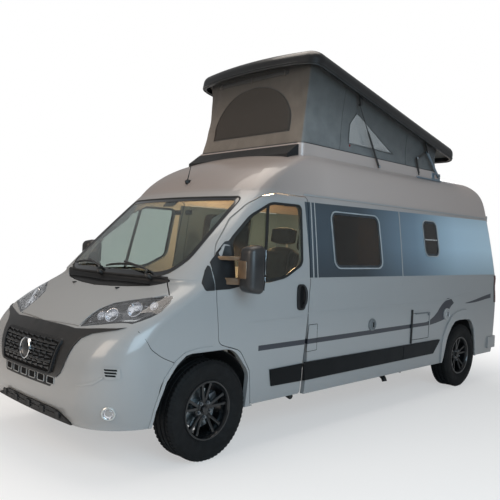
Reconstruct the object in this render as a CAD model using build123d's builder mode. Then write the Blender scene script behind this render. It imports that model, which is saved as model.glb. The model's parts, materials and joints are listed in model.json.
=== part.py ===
from build123d import *
import math
import os

os.makedirs("parts", exist_ok=True)

# A long-wheelbase camper van with an open pop-up roof.
# Frame: +X forward, +Y to the vehicle's left, +Z up; the origin is on the ground at the centre
# of the overall length and width. Stations are measured rearwards from the nose, in millimetres.

# ---------------------------------------------------------------- driving dimensions
LENGTH = 5998.0
WHEELBASE = 4035.0
FRONT_AXLE = 948.0
FRONT_TRACK = 1810.0
REAR_TRACK = 1790.0
WALL = 42.0
SEAM = 6.0
BONNET_SEAM = 8.5
BONNET_EDGE = 10.0
BONNET_TOP = 1322.0
SEAT = 0.3

SILL = 330.0
BUMPER_TOP = 1030.0
WAIST = 1340.0
GUTTER = 2065.0
DOOR_TOP = 2052.0
FLOOR_TOP = 600.0
FLOOR_THICK = 40.0
SCUTTLE_TOP = 1352.0

TYRE_RADIUS = 372.0
TYRE_WIDTH = 225.0
BEAD_RADIUS = 203.0
FLANGE_RADIUS = 220.0
RIM_WIDTH = 178.0
RIM_WALL = 8.0
SPOKE_PAIRS = 5
HUB_RADIUS = 76.0
HUB_FACE = 66.0
PILOT_RADIUS = 30.0
PILOT_CLEARANCE = 0.06
KINGPIN_INSET = 55.0
KNUCKLE_HALF = 100.0
ARCH_RADIUS = 452.0
LINER_THICK = 5.0
LINER_INSIDE = 545.0

CAB_DOOR_REAR_SEAM = 12.0
REAR_DOOR_HALF = 805.0
REAR_DOOR_BOTTOM = 545.0
REAR_DOOR_TOP = 2240.0

ROOF_LENGTH = 2922.0
ROOF_HALF = 825.0
ROOF_EDGE = 108.0
ROOF_SKIN = 38.0
ROOF_TILT = 11.7
ROOF_REAR = (5038.0, 2734.0)
FRAME_FRONT = 2205.0
FRAME_REAR = 4790.0
FRAME_HALF = 738.0
FRAME_RIM = 46.0
FRAME_TOP = 2572.0
TENT_HALF = 726.0
TENT_CLOTH = 14.0

ARM_BASE = (4700.0, 2513.0)
ARM_TOP = (4416.0, 2774.0)
LINK_BASE = (4285.0, 2506.0)
LINK_TOP = (4217.0, 2679.0)
STRUT_BASE = (3430.0, 2487.0)
STRUT_TOP = (3045.0, 3068.0)
PIN_RADIUS = 7.0

NOSE = LENGTH / 2
REAR_AXLE = FRONT_AXLE + WHEELBASE
AXLE_HEIGHT = TYRE_RADIUS
BRIM = 1200.0

# The body's plan section at each height: where the nose stands, how far it sweeps back at
# SWEEP_AT from the centre, the half width, the front corner radius, the tail and its corner.
SWEEP_AT = 600.0
# height, nose, sweep, half_width, corner, tail, tail_corner
LOWER_ROWS = [
    (330, 50, 20, 985, 420, 73, 70),
    (456, 22, 25, 999, 408, 73, 70),
    (582, 5, 30, 1007, 396, 72, 70),
    (709, 12, 34, 1011, 366, 67, 70),
    (835, 36, 38, 1013, 328, 62, 70),
    (961, 114, 40, 1014, 284, 58, 70),
    (1087, 266, 40, 1011, 264, 60, 70),
    (1214, 491, 40, 1006, 260, 63, 70),
    (1340, 660, 40, 1000, 300, 68, 70),
]
MIDDLE_ROWS = [
    (1340, 660, 40, 1000, 300, 68, 70),
    (1700, 1016, 55, 948, 220, 90, 75),
    (2065, 1400, 68, 887, 150, 128, 80),
]
UPPER_ROWS = [
    (2065, 1400, 68, 887, 150, 128, 80),
    (2180, 1505, 72, 872, 170, 143, 90),
    (2300, 1665, 80, 845, 200, 165, 100),
    (2400, 1870, 90, 800, 230, 208, 120),
    (2470, 2080, 100, 735, 250, 290, 140),
    (2525, 2350, 110, 620, 260, 440, 160),
]
ROOF_DROP_FROM = 2200


# ---------------------------------------------------------------- shared forms
def x_at(station):
    return NOSE - station


def body_loft(rows, skin):
    """One stretch of the body's solid form, moved in by a skin thickness."""
    with BuildPart() as form:
        for height, nose, sweep, half, corner, tail, tail_corner in rows:
            front = nose + skin * 1.5
            side = half - skin
            bow = (SWEEP_AT**2 + sweep**2) / (2 * sweep)
            edge = front + bow - math.sqrt(bow**2 - side**2)
            level = height - (skin if height > ROOF_DROP_FROM else 0)
            with BuildSketch(Plane.XY.offset(level)) as section:
                with BuildLine():
                    ThreePointArc((x_at(edge), side), (x_at(front), 0), (x_at(edge), -side))
                    Polyline(
                        (x_at(edge), -side),
                        (tail + skin - NOSE, -side),
                        (tail + skin - NOSE, side),
                        (x_at(edge), side),
                    )
                make_face()
                corners = section.vertices().sort_by(Axis.X)
                fillet(corners[-2:], corner - skin)
                fillet(section.vertices().sort_by(Axis.X)[:2], tail_corner - skin)
        loft()
    return form.part


def body_form(skin):
    stretches = [body_loft(rows, skin) for rows in (LOWER_ROWS, MIDDLE_ROWS, UPPER_ROWS)]
    with BuildPart() as form:
        for stretch in stretches:
            add(stretch)
    return form.part


def outline_of(points, radius):
    if radius:
        FilletPolyline(*points, radius=radius, close=True)
    else:
        Polyline(*points, close=True)


def side_block(points, low_y, high_y, radius=0):
    """A prism over a side-view outline of (station, height) points."""
    with BuildPart() as block:
        with BuildSketch(Plane.XZ.offset(-low_y)):
            with BuildLine():
                outline_of([(x_at(s), z) for s, z in points], radius)
            make_face()
        extrude(amount=low_y - high_y)
    return block.part


def plan_block(points, low_z, high_z, radius=0):
    """A prism over a plan outline of (station, width) points."""
    with BuildPart() as block:
        with BuildSketch(Plane.XY.offset(low_z)):
            with BuildLine():
                outline_of([(x_at(s), y) for s, y in points], radius)
            make_face()
        extrude(amount=high_z - low_z)
    return block.part


def end_block(points, front, rear, radius=0):
    """A prism over an end-view outline of (width, height) points, between two stations."""
    with BuildPart() as block:
        with BuildSketch(Plane.YZ.offset(x_at(rear))):
            with BuildLine():
                outline_of(points, radius)
            make_face()
        extrude(amount=rear - front)
    return block.part


def box_at(front, rear, low_y, high_y, low_z, high_z):
    with BuildPart() as block:
        with BuildSketch(Plane.XY.offset(low_z)):
            with Locations((x_at((front + rear) / 2), (low_y + high_y) / 2)):
                Rectangle(rear - front, high_y - low_y)
        extrude(amount=high_z - low_z)
    return block.part


def drum(station, height, radius, low_y, high_y):
    """A round bar or disc across the vehicle."""
    with BuildPart() as block:
        with BuildSketch(Plane.XZ.offset(-low_y)):
            with Locations((x_at(station), height)):
                Circle(radius)
        extrude(amount=low_y - high_y)
    return block.part


def save(piece, name):
    piece.part.label = name
    export_step(piece.part, f"parts/{name}.step")


outer_form = body_form(0)
inner_form = body_form(WALL)
glass_outer = body_form(3)
glass_inner = body_form(10)

with BuildPart() as shell:
    add(outer_form)
    add(inner_form, mode=Mode.SUBTRACT)

with BuildPart() as glass_skin:
    add(glass_outer)
    add(glass_inner, mode=Mode.SUBTRACT)

# ---------------------------------------------------------------- panel outlines
FRONT_ARCH = [(424, 250), (500, 640), (690, 815), (1175, 815), (1350, 610), (1338, 250)]
FRONT_ARCH_RADII = [0, 170, 170, 190, 150, 0]
REAR_ARCH = [(4490, 250), (4600, 640), (4760, 808), (5200, 808), (5340, 600), (5400, 250)]
REAR_ARCH_RADII = [0, 150, 170, 190, 150, 0]

CAB_DOOR = [
    (1400, 345), (1358, 626), (1247, 795), (1020, 862), (985, 1270), (968, 1415), (1066, 1603),
    (1254, 1811), (1423, 1945), (1560, 2018), (1720, DOOR_TOP), (2128, DOOR_TOP), (2060, 1170),
    (2000, 600), (2000, 345),
]
CAB_DOOR_RADII = [30, 60, 120, 60, 60, 60, 300, 300, 300, 200, 100, 40, 300, 300, 30]
CAB_WINDOW = [
    (1160, 1312), (1160, 1640), (1400, 1855), (1650, 1975), (2035, 1975), (1990, 1460), (1760, 1350),
    (1560, 1312),
]
CAB_WINDOW_RADII = [12, 12, 200, 120, 60, 120, 100, 100]

BONNET = [
    (140, -0.01), (158, -300), (172, -460), (262, -462), (328, -478), (409, -545), (487, -680),
    (564, -812), (634, -884), (725, -735), (662, -612), (610, -425), (574, -229), (554, 0),
]
LAMP = [(165, 480), (262, 462), (328, 478), (409, 545), (487, 680), (564, 812), (648, 925), (590, 955),
        (503, 968), (434, 955), (370, 930), (320, 900), (280, 815), (220, 655)]
BUMPER_SIDE = [(-50, 250), (-50, 1045), (322, 1045), (402, 875), (497, 812), (640, 752), (640, 250)]
WINDSCREEN = [(-600, 1340), (-725, 1375), (-800, 1480), (-770, 2012), (770, 2012), (800, 1480), (725, 1375), (600, 1340)]
WINDSCREEN_RADII = [60, 60, 60, 60, 60, 60, 60, 60]
DINETTE_WINDOW = [(2445, 1429), (2445, 1948), (3227, 1948), (3227, 1429)]
SLIT_WINDOW = [(4107, 1562), (4107, 1957), (4427, 1957), (4427, 1562)]
REAR_WINDOW = [(120, 1300), (120, 1960), (700, 1960), (700, 1300)]
WINDOW_RADIUS = 70
SLIDING_DOOR_FRONT = 2213.0
SLIDING_DOOR_REAR = 3650.0


def mirrored(points):
    return [(s, -y) for s, y in points]


def grown(piece, gap):
    """A cutter that leaves a seam around a region."""
    with BuildPart() as bigger:
        add(piece)
        offset(amount=gap, kind=Kind.INTERSECTION)
    return bigger.part


bonnet_half = [(s, y) for s, y in BONNET if y < -1]
bonnet_points = [(135, 0)] + bonnet_half + [(554, 0)] + [(s, -y) for s, y in reversed(bonnet_half)]
bonnet_region = plan_block(bonnet_points, 900, 1500)
bonnet_seam = grown(bonnet_region, BONNET_SEAM)
lamp_region = plan_block(LAMP, 900, 1300, 12)
lamp_region_right = plan_block(mirrored(LAMP), 900, 1300, 12)
windscreen_region = end_block(WINDSCREEN, 500, 1700, WINDSCREEN_RADII)
front_arch_cut = side_block(FRONT_ARCH, -BRIM, BRIM, FRONT_ARCH_RADII)
rear_arch_cut = side_block(REAR_ARCH, -BRIM, BRIM, REAR_ARCH_RADII)
door_region = side_block(CAB_DOOR, 300, BRIM, CAB_DOOR_RADII)
door_seam = grown(door_region, SEAM)
door_swing_room = side_block(CAB_DOOR, 950, BRIM, CAB_DOOR_RADII)
window_region = side_block(CAB_WINDOW, 300, BRIM, CAB_WINDOW_RADII)
bumper_region = side_block(BUMPER_SIDE, -BRIM, BRIM)
rear_door_opening = box_at(5600, LENGTH + 10, -REAR_DOOR_HALF, REAR_DOOR_HALF, REAR_DOOR_BOTTOM, REAR_DOOR_TOP)

# ---------------------------------------------------------------- bonnet, lamps, bumper, wings
# The bonnet is thin at its edges and thick inside them, so that it lifts clear of its neighbours.
bonnet_frame_half = [
    (200, -280), (215, -420), (270, -422), (345, -440), (440, -570), (520, -700), (600, -805), (632, -828),
    (675, -738), (622, -625), (572, -440), (534, -235),
]
bonnet_frame_points = [(185, 0)] + bonnet_frame_half + [(514, 0)] + [(s, -y) for s, y in reversed(bonnet_frame_half)]
with BuildPart() as bonnet_skin:
    add(body_loft(LOWER_ROWS, 0))
    add(body_loft(LOWER_ROWS, BONNET_EDGE), mode=Mode.SUBTRACT)
    add(bonnet_region, mode=Mode.INTERSECT)
    add(box_at(0, 900, -BRIM, BRIM, BONNET_TOP, 1500), mode=Mode.SUBTRACT)
with BuildPart() as bonnet:
    add(shell.part)
    add(plan_block(bonnet_frame_points, 900, 1500), mode=Mode.INTERSECT)
    add(bonnet_skin.part)
save(bonnet, "bonnet")

with BuildPart() as headlamps:
    add(lamp_region)
    add(lamp_region_right)
    add(shell.part, mode=Mode.INTERSECT)
    add(bonnet_seam, mode=Mode.SUBTRACT)
save(headlamps, "headlamps")

grille_region = end_block([(372, 560), (432, 905), (-432, 905), (-372, 560)], -100, 500, 25)

SLAM_DEPTH = 24.0
SLAM_HALF = 458.0
SLAM_POST = 436.0
with BuildPart() as slam_room:
    add(box_at(0, 330, -SLAM_HALF, SLAM_HALF, 925, 1010))
    add(box_at(0, 330, -SLAM_HALF, -SLAM_POST, 860, 1010))
    add(box_at(0, 330, SLAM_POST, SLAM_HALF, 860, 1010))
with BuildPart() as tie_room:
    add(box_at(0, 330, -SLAM_HALF, -SLAM_POST, 860, 888))
    add(box_at(0, 330, SLAM_POST, SLAM_HALF, 860, 888))
with BuildPart() as slam:
    add(body_loft(LOWER_ROWS, WALL + SEAT))
    add(body_loft(LOWER_ROWS, WALL + SLAM_DEPTH), mode=Mode.SUBTRACT)
    add(slam_room.part, mode=Mode.INTERSECT)
with BuildPart() as slam_tie:
    add(body_loft(LOWER_ROWS, WALL - 6))
    add(body_loft(LOWER_ROWS, WALL + SLAM_DEPTH), mode=Mode.SUBTRACT)
    add(tie_room.part, mode=Mode.INTERSECT)
    add(slam.part)
slam_panel = slam_tie.part
with BuildPart() as bumper_front:
    add(shell.part)
    add(bumper_region, mode=Mode.INTERSECT)
    add(bonnet_seam, mode=Mode.SUBTRACT)
    add(lamp_region, mode=Mode.SUBTRACT)
    add(lamp_region_right, mode=Mode.SUBTRACT)
    add(front_arch_cut, mode=Mode.SUBTRACT)
    add(grille_region, mode=Mode.SUBTRACT)
    add(slam_panel)
save(bumper_front, "bumper_front")

with BuildPart() as grille:
    add(shell.part)
    add(grille_region, mode=Mode.INTERSECT)
save(grille, "grille")

fender_side = box_at(250, 1420, 0, BRIM, SILL, WAIST)
with BuildPart() as fender_left:
    add(shell.part)
    add(fender_side, mode=Mode.INTERSECT)
    add(bumper_region, mode=Mode.SUBTRACT)
    add(bonnet_seam, mode=Mode.SUBTRACT)
    add(lamp_region, mode=Mode.SUBTRACT)
    add(front_arch_cut, mode=Mode.SUBTRACT)
    add(door_seam, mode=Mode.SUBTRACT)
    add(plan_block([(540, 0), (560, 228), (600, 425), (655, 600), (735, 760), (900, 760), (900, 0)], 1000, 1500), mode=Mode.SUBTRACT)
save(fender_left, "fender_left")

with BuildPart() as fender_right:
    add(fender_left.part.mirror(Plane.XZ))
save(fender_right, "fender_right")

# ---------------------------------------------------------------- windscreen and scuttle
with BuildPart() as windscreen:
    add(windscreen_region)
    add(glass_skin.part, mode=Mode.INTERSECT)
save(windscreen, "windscreen")

scuttle_half = [(560, 0), (580, 228), (616, 425), (668, 612), (735, 742), (800, 742), (800, 0)]
scuttle_region = plan_block(scuttle_half, 1100, SCUTTLE_TOP)
with BuildPart() as scuttle_both:
    add(scuttle_region)
    mirror(about=Plane.XZ)
scuttle_room = scuttle_both.part
with BuildPart() as scuttle:
    add(scuttle_room)
    add(shell.part, mode=Mode.INTERSECT)
    add(bonnet_seam, mode=Mode.SUBTRACT)
    add(windscreen_region, mode=Mode.SUBTRACT)
save(scuttle, "scuttle")

# ---------------------------------------------------------------- sides and roof
side_room = box_at(2060, LENGTH, 0, BRIM, SILL, GUTTER)
dinette_cut = side_block(DINETTE_WINDOW, 300, BRIM, WINDOW_RADIUS)
slit_cut = side_block(SLIT_WINDOW, 300, BRIM, WINDOW_RADIUS)
door_rear_gap = side_block([(s + CAB_DOOR_REAR_SEAM, z) for s, z in CAB_DOOR], 300, BRIM, CAB_DOOR_RADII)

tail_lamp_room = box_at(5842, LENGTH, REAR_DOOR_HALF + 12, BRIM, 985, 1330)
with BuildPart() as tail_lamps:
    add(tail_lamp_room)
    mirror(about=Plane.XZ)
    add(shell.part, mode=Mode.INTERSECT)
save(tail_lamps, "tail_lamps")

with BuildPart() as side_blank:
    add(shell.part)
    add(side_room, mode=Mode.INTERSECT)
    add(door_rear_gap, mode=Mode.SUBTRACT)
    add(door_seam, mode=Mode.SUBTRACT)
    add(rear_arch_cut, mode=Mode.SUBTRACT)
    add(slit_cut, mode=Mode.SUBTRACT)
    add(rear_door_opening, mode=Mode.SUBTRACT)
    add(box_at(5600, LENGTH + 10, -REAR_DOOR_HALF, REAR_DOOR_HALF, 0, REAR_DOOR_TOP), mode=Mode.SUBTRACT)
    add(tail_lamp_room, mode=Mode.SUBTRACT)

with BuildPart() as side_left:
    add(side_blank.part)
    add(dinette_cut, mode=Mode.SUBTRACT)
save(side_left, "side_left")

sliding_region = box_at(SLIDING_DOOR_FRONT, SLIDING_DOOR_REAR, 300, BRIM, SILL + 40, GUTTER - 40)
with BuildPart() as side_right:
    add(side_blank.part.mirror(Plane.XZ))
    add(sliding_region.mirror(Plane.XZ), mode=Mode.SUBTRACT)
save(side_right, "side_right")

sliding_panel = box_at(
    SLIDING_DOOR_FRONT + SEAM, SLIDING_DOOR_REAR - SEAM, 300, BRIM, SILL + 40 + SEAM, GUTTER - 40 - SEAM
)
with BuildPart() as sliding_door:
    add(side_blank.part.mirror(Plane.XZ))
    add(sliding_panel.mirror(Plane.XZ), mode=Mode.INTERSECT)
    add(dinette_cut.mirror(Plane.XZ), mode=Mode.SUBTRACT)
save(sliding_door, "sliding_door")

with BuildPart() as side_windows:
    add(dinette_cut)
    add(slit_cut)
    mirror(about=Plane.XZ)
    add(glass_skin.part, mode=Mode.INTERSECT)
save(side_windows, "side_windows")

pillar_room = side_block([(690, WAIST), (960, WAIST), (2400, GUTTER), (2400, 2090), (1300, 2090)], 0, BRIM)
header_room = box_at(1200, 2150, -BRIM, BRIM, 1990, GUTTER + 20)
roof_room = box_at(1300, LENGTH, -BRIM, BRIM, GUTTER, 2700)
hatch = [(FRAME_FRONT + FRAME_RIM, -660), (FRAME_REAR - FRAME_RIM, -660), (FRAME_REAR - FRAME_RIM, 660), (FRAME_FRONT + FRAME_RIM, 660)]
roof_hatch = plan_block(hatch, 2300, 2700, 120)
with BuildPart() as roof_and_pillars:
    add(roof_room)
    add(header_room)
    add(pillar_room)
    add(pillar_room.mirror(Plane.XZ))
with BuildPart() as roof_panel:
    add(shell.part)
    add(roof_and_pillars.part, mode=Mode.INTERSECT)
    add(windscreen_region, mode=Mode.SUBTRACT)
    add(door_seam, mode=Mode.SUBTRACT)
    add(door_seam.mirror(Plane.XZ), mode=Mode.SUBTRACT)
    add(roof_hatch, mode=Mode.SUBTRACT)
    add(rear_door_opening, mode=Mode.SUBTRACT)
    add(bonnet_seam, mode=Mode.SUBTRACT)
    add(scuttle_room, mode=Mode.SUBTRACT)
    add(box_at(2060, LENGTH, -BRIM, BRIM, SILL, GUTTER), mode=Mode.SUBTRACT)
save(roof_panel, "roof_panel")

# ---------------------------------------------------------------- cab doors
MIRROR_IN = 1045
MIRROR_OUT = 1250
MIRROR_FRONT = 1175
MIRROR_REAR = 1305
MIRROR_MIDDLE = 1426
MIRROR_HEIGHT = 328
SAIL = [(1012, 1300), (1160, 1300), (1160, 1600), (1118, 1600), (1030, 1455)]
with BuildPart() as sail:
    add(side_block(SAIL, 300, BRIM, 14))
    add(shell.part, mode=Mode.INTERSECT)
mirror_sail = sail.part
with BuildPart() as door_left:
    add(shell.part)
    add(door_region, mode=Mode.INTERSECT)
    add(window_region, mode=Mode.SUBTRACT)
    add(mirror_sail, mode=Mode.SUBTRACT)
save(door_left, "door_left")

with BuildPart() as door_right:
    add(door_left.part.mirror(Plane.XZ))
save(door_right, "door_right")

with BuildPart() as door_glass_left:
    add(window_region)
    add(glass_skin.part, mode=Mode.INTERSECT)
save(door_glass_left, "door_glass_left")

with BuildPart() as door_glass_right:
    add(door_glass_left.part.mirror(Plane.XZ))
save(door_glass_right, "door_glass_right")

# ---------------------------------------------------------------- rear doors
rear_leaf = box_at(5600, LENGTH + 10, SEAM / 2, REAR_DOOR_HALF - SEAM, REAR_DOOR_BOTTOM + SEAM, REAR_DOOR_TOP - SEAM)
rear_window_cut = end_block(REAR_WINDOW, 5600, LENGTH + 10, 60)
with BuildPart() as rear_door_left:
    add(shell.part)
    add(rear_leaf, mode=Mode.INTERSECT)
    add(rear_window_cut, mode=Mode.SUBTRACT)
save(rear_door_left, "rear_door_left")

with BuildPart() as rear_door_right:
    add(rear_door_left.part.mirror(Plane.XZ))
save(rear_door_right, "rear_door_right")

with BuildPart() as rear_glass_left:
    add(rear_window_cut)
    add(glass_skin.part, mode=Mode.INTERSECT)
save(rear_glass_left, "rear_glass_left")

with BuildPart() as rear_glass_right:
    add(rear_glass_left.part.mirror(Plane.XZ))
save(rear_glass_right, "rear_glass_right")

# ---------------------------------------------------------------- mirrors
with BuildPart() as mirror_left:
    with BuildSketch(Plane.YZ.offset(x_at(MIRROR_REAR))):
        with Locations(((MIRROR_IN + MIRROR_OUT) / 2, MIRROR_MIDDLE)):
            RectangleRounded(MIRROR_OUT - MIRROR_IN, MIRROR_HEIGHT, 45)
    extrude(amount=MIRROR_REAR - MIRROR_FRONT, taper=8)
    for arm_low in (1328, 1488):
        add(plan_block(
            [
                (1085, 940), (1135, 940), (1290, MIRROR_IN), (1290, MIRROR_IN + 40), (1230, MIRROR_IN + 40),
                (1100, 990),
            ],
            arm_low, arm_low + 28,
        ))
    add(outer_form, mode=Mode.SUBTRACT)
    add(mirror_sail)
save(mirror_left, "mirror_left")

with BuildPart() as mirror_right:
    add(mirror_left.part.mirror(Plane.XZ))
save(mirror_right, "mirror_right")

# ---------------------------------------------------------------- wheels and what carries them
# name, station, side, half track
WHEELS = [
    ("front_left", FRONT_AXLE, 1, FRONT_TRACK / 2),
    ("front_right", FRONT_AXLE, -1, FRONT_TRACK / 2),
    ("rear_left", REAR_AXLE, 1, REAR_TRACK / 2),
    ("rear_right", REAR_AXLE, -1, REAR_TRACK / 2),
]
GROOVES = (-50, 0, 50)
GROOVE_DEPTH = 9


def wheel_plane(station, side, half_track):
    """At the wheel's centre, with the local Z axis pointing outwards."""
    return Plane(
        origin=(x_at(station), side * half_track, AXLE_HEIGHT), x_dir=(1, 0, 0), z_dir=(0, side, 0)
    )


def tyre_profile():
    half = TYRE_WIDTH / 2
    tread = half - 24
    ribs = [(TYRE_RADIUS - 4, -tread)]
    for groove in GROOVES:
        ribs.append((TYRE_RADIUS, groove - 8))
        ribs.append((TYRE_RADIUS - GROOVE_DEPTH, groove - 6))
        ribs.append((TYRE_RADIUS - GROOVE_DEPTH, groove + 6))
        ribs.append((TYRE_RADIUS, groove + 8))
    ribs.append((TYRE_RADIUS - 4, tread))
    wall_in = FLANGE_RADIUS + 26
    wall_out = TYRE_RADIUS - 24
    with BuildLine() as line:
        Polyline(*ribs)
        Line((TYRE_RADIUS - 4, tread), (wall_out, half - 8))
        ThreePointArc((wall_out, half - 8), (300, half), (wall_in, half - 10))
        Polyline(
            (wall_in, half - 10),
            (FLANGE_RADIUS, RIM_WIDTH / 2),
            (BEAD_RADIUS, RIM_WIDTH / 2 - 10),
            (BEAD_RADIUS, 10 - RIM_WIDTH / 2),
            (FLANGE_RADIUS, -RIM_WIDTH / 2),
            (wall_in, 10 - half),
        )
        ThreePointArc((wall_in, 10 - half), (300, -half), (wall_out, 8 - half))
        Line((wall_out, 8 - half), (TYRE_RADIUS - 4, -tread))
    return line.line


tyre_line = tyre_profile()
for name, station, side, half_track in WHEELS:
    hub_plane = wheel_plane(station, side, half_track)
    turning_plane = Plane(origin=hub_plane.origin, x_dir=(1, 0, 0), z_dir=(0, 0, side))
    with BuildPart() as tyre:
        with BuildSketch(turning_plane):
            with BuildLine():
                add(tyre_line)
            make_face()
        revolve(axis=Axis(hub_plane.origin, (0, 1, 0)))
    save(tyre, f"tyre_{name}")

    with BuildPart(hub_plane) as rim:
        with BuildSketch(hub_plane.offset(-RIM_WIDTH / 2)):
            Circle(BEAD_RADIUS)
            Circle(BEAD_RADIUS - RIM_WALL, mode=Mode.SUBTRACT)
        extrude(amount=RIM_WIDTH)
        for face_at in (-RIM_WIDTH / 2 - 8, RIM_WIDTH / 2):
            with BuildSketch(hub_plane.offset(face_at)):
                Circle(FLANGE_RADIUS)
                Circle(BEAD_RADIUS - RIM_WALL, mode=Mode.SUBTRACT)
            extrude(amount=8)
        with BuildSketch(hub_plane.offset(0)):
            Circle(HUB_RADIUS)
        extrude(amount=HUB_FACE)
        with BuildSketch(hub_plane.offset(HUB_FACE - 26)):
            with PolarLocations(0, SPOKE_PAIRS):
                for lean in (-1, 1):
                    with Locations((BEAD_RADIUS / 2, 0)):
                        with Locations(Location((0, lean * 20, 0), (0, 0, lean * 8))):
                            Rectangle(BEAD_RADIUS - 8, 22)
        extrude(amount=24)
        with BuildSketch(hub_plane.offset(0)):
            Circle(PILOT_RADIUS + PILOT_CLEARANCE)
        extrude(amount=HUB_FACE - 16, mode=Mode.SUBTRACT)
    save(rim, f"rim_{name}")

for name, side in (("left", 1), ("right", -1)):
    hub_plane = wheel_plane(FRONT_AXLE, side, FRONT_TRACK / 2)
    with BuildPart() as knuckle:
        with BuildSketch(hub_plane.offset(-KINGPIN_INSET - 30)):
            RectangleRounded(110, 2 * KNUCKLE_HALF, 30)
        extrude(amount=60)
        with BuildSketch(hub_plane.offset(-KINGPIN_INSET)):
            Circle(PILOT_RADIUS)
        extrude(amount=KINGPIN_INSET + HUB_FACE - 22)
        with BuildSketch(hub_plane.offset(-25.3)):
            Circle(62)
        extrude(amount=25)
    save(knuckle, f"knuckle_{name}")

RAIL_AT = 430.0
RAIL_WIDTH = 80.0
RAIL_BOTTOM = 420.0
RAIL_TOP = FLOOR_TOP - FLOOR_THICK
with BuildPart() as rear_axle:
    add(drum(REAR_AXLE, AXLE_HEIGHT, 42, -REAR_TRACK / 2 + 20, REAR_TRACK / 2 - 20))
    add(drum(REAR_AXLE, AXLE_HEIGHT, PILOT_RADIUS, -REAR_TRACK / 2 - HUB_FACE + 22, REAR_TRACK / 2 + HUB_FACE - 22))
    for side in (-1, 1):
        with BuildSketch(Plane.XZ.offset(side * RAIL_AT + 32)):
            with BuildLine():
                ThreePointArc((x_at(REAR_AXLE - 720), RAIL_BOTTOM), (x_at(REAR_AXLE), AXLE_HEIGHT - 34), (x_at(REAR_AXLE + 720), RAIL_BOTTOM))
                Line((x_at(REAR_AXLE + 720), RAIL_BOTTOM), (x_at(REAR_AXLE + 720), RAIL_BOTTOM - 20))
                ThreePointArc((x_at(REAR_AXLE + 720), RAIL_BOTTOM - 20), (x_at(REAR_AXLE), AXLE_HEIGHT - 70), (x_at(REAR_AXLE - 720), RAIL_BOTTOM - 20))
                Line((x_at(REAR_AXLE - 720), RAIL_BOTTOM - 20), (x_at(REAR_AXLE - 720), RAIL_BOTTOM))
            make_face()
        extrude(amount=-64)
save(rear_axle, "rear_axle")

BEAM_BOTTOM = 262.0
with BuildPart() as front_subframe:
    add(box_at(FRONT_AXLE - 120, FRONT_AXLE + 120, -470, 470, 330, RAIL_BOTTOM))
    for side in (1, -1):
        low, high = sorted((side * 430, side * (FRONT_TRACK / 2 - KINGPIN_INSET + 20)))
        add(box_at(FRONT_AXLE - 40, FRONT_AXLE + 40, low, high, 230, AXLE_HEIGHT - KNUCKLE_HALF - SEAT))
        low, high = sorted((side * 430, side * 470))
        add(box_at(FRONT_AXLE - 60, FRONT_AXLE + 60, low, high, 230, 340))
save(front_subframe, "front_subframe")

TOWBAR_STATIONS = (5480.0, 5600.0)
TOWBAR_HEIGHTS = (455.0, 515.0)
TOWBAR_HOLE = 6.5
CROSS_MEMBERS = (560, 1500, 2300, 3100, 3900, 4400, 5700)
with BuildPart() as chassis:
    for side in (-1, 1):
        add(box_at(560, 5820, side * RAIL_AT - RAIL_WIDTH / 2, side * RAIL_AT + RAIL_WIDTH / 2, RAIL_BOTTOM, RAIL_TOP))
    for station in CROSS_MEMBERS:
        add(box_at(station - 40, station + 40, -RAIL_AT, RAIL_AT, RAIL_BOTTOM + 20, RAIL_TOP))
    for side in (1, -1):
        for station in TOWBAR_STATIONS:
            for height in TOWBAR_HEIGHTS:
                low, high = sorted((side * 300, side * 600))
                add(drum(station, height, TOWBAR_HOLE, low, high), mode=Mode.SUBTRACT)
save(chassis, "chassis")

with BuildPart() as engine:
    add(box_at(500, 960, -350, 350, RAIL_BOTTOM + 40 + 110, 1040))
    for side in (-1, 1):
        low, high = sorted((side * 300, side * RAIL_AT))
        add(box_at(700, 760, low, high, RAIL_TOP, RAIL_TOP + 60))
save(engine, "engine")

with BuildPart() as wheel_liners:
    for axle, outside in ((FRONT_AXLE, 985), (REAR_AXLE, 985)):
        for side in (1, -1):
            low, high = sorted((side * LINER_INSIDE, side * outside))
            with BuildSketch(Plane.XZ.offset(-low)):
                with Locations((x_at(axle), AXLE_HEIGHT)):
                    Circle(ARCH_RADIUS + LINER_THICK)
            extrude(amount=low - high)
    for axle, outside in ((FRONT_AXLE, 985), (REAR_AXLE, 985)):
        for side in (1, -1):
            low, high = sorted((side * (LINER_INSIDE + LINER_THICK), side * (outside + 20)))
            with BuildSketch(Plane.XZ.offset(-low)):
                with Locations((x_at(axle), AXLE_HEIGHT)):
                    Circle(ARCH_RADIUS)
            extrude(amount=low - high, mode=Mode.SUBTRACT)
    add(box_at(0, LENGTH, -BRIM, BRIM, -200, SILL + 10), mode=Mode.SUBTRACT)
    for axle in (FRONT_AXLE, REAR_AXLE):
        add(box_at(axle - 160, axle + 160, -LINER_INSIDE - 20, LINER_INSIDE + 20, 0, AXLE_HEIGHT + 150), mode=Mode.SUBTRACT)
    add(inner_form, mode=Mode.INTERSECT)
save(wheel_liners, "wheel_liners")

FLOOR_REAR = 5850.0
with BuildPart() as floor:
    add(box_at(1250, FLOOR_REAR, -BRIM, BRIM, RAIL_TOP, FLOOR_TOP))
    add(box_at(1110, 1150, -BRIM, BRIM, RAIL_TOP, 1290))
    add(box_at(1110, 1400, -BRIM, BRIM, RAIL_TOP, RAIL_TOP + 30))
    for axle in (FRONT_AXLE, REAR_AXLE):
        for side in (1, -1):
            low, high = sorted((side * LINER_INSIDE, side * BRIM))
            add(drum(axle, AXLE_HEIGHT, ARCH_RADIUS + LINER_THICK, low, high), mode=Mode.SUBTRACT)
    add(inner_form, mode=Mode.INTERSECT)
    add(door_swing_room, mode=Mode.SUBTRACT)
    add(door_swing_room.mirror(Plane.XZ), mode=Mode.SUBTRACT)
save(floor, "floor")

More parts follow.
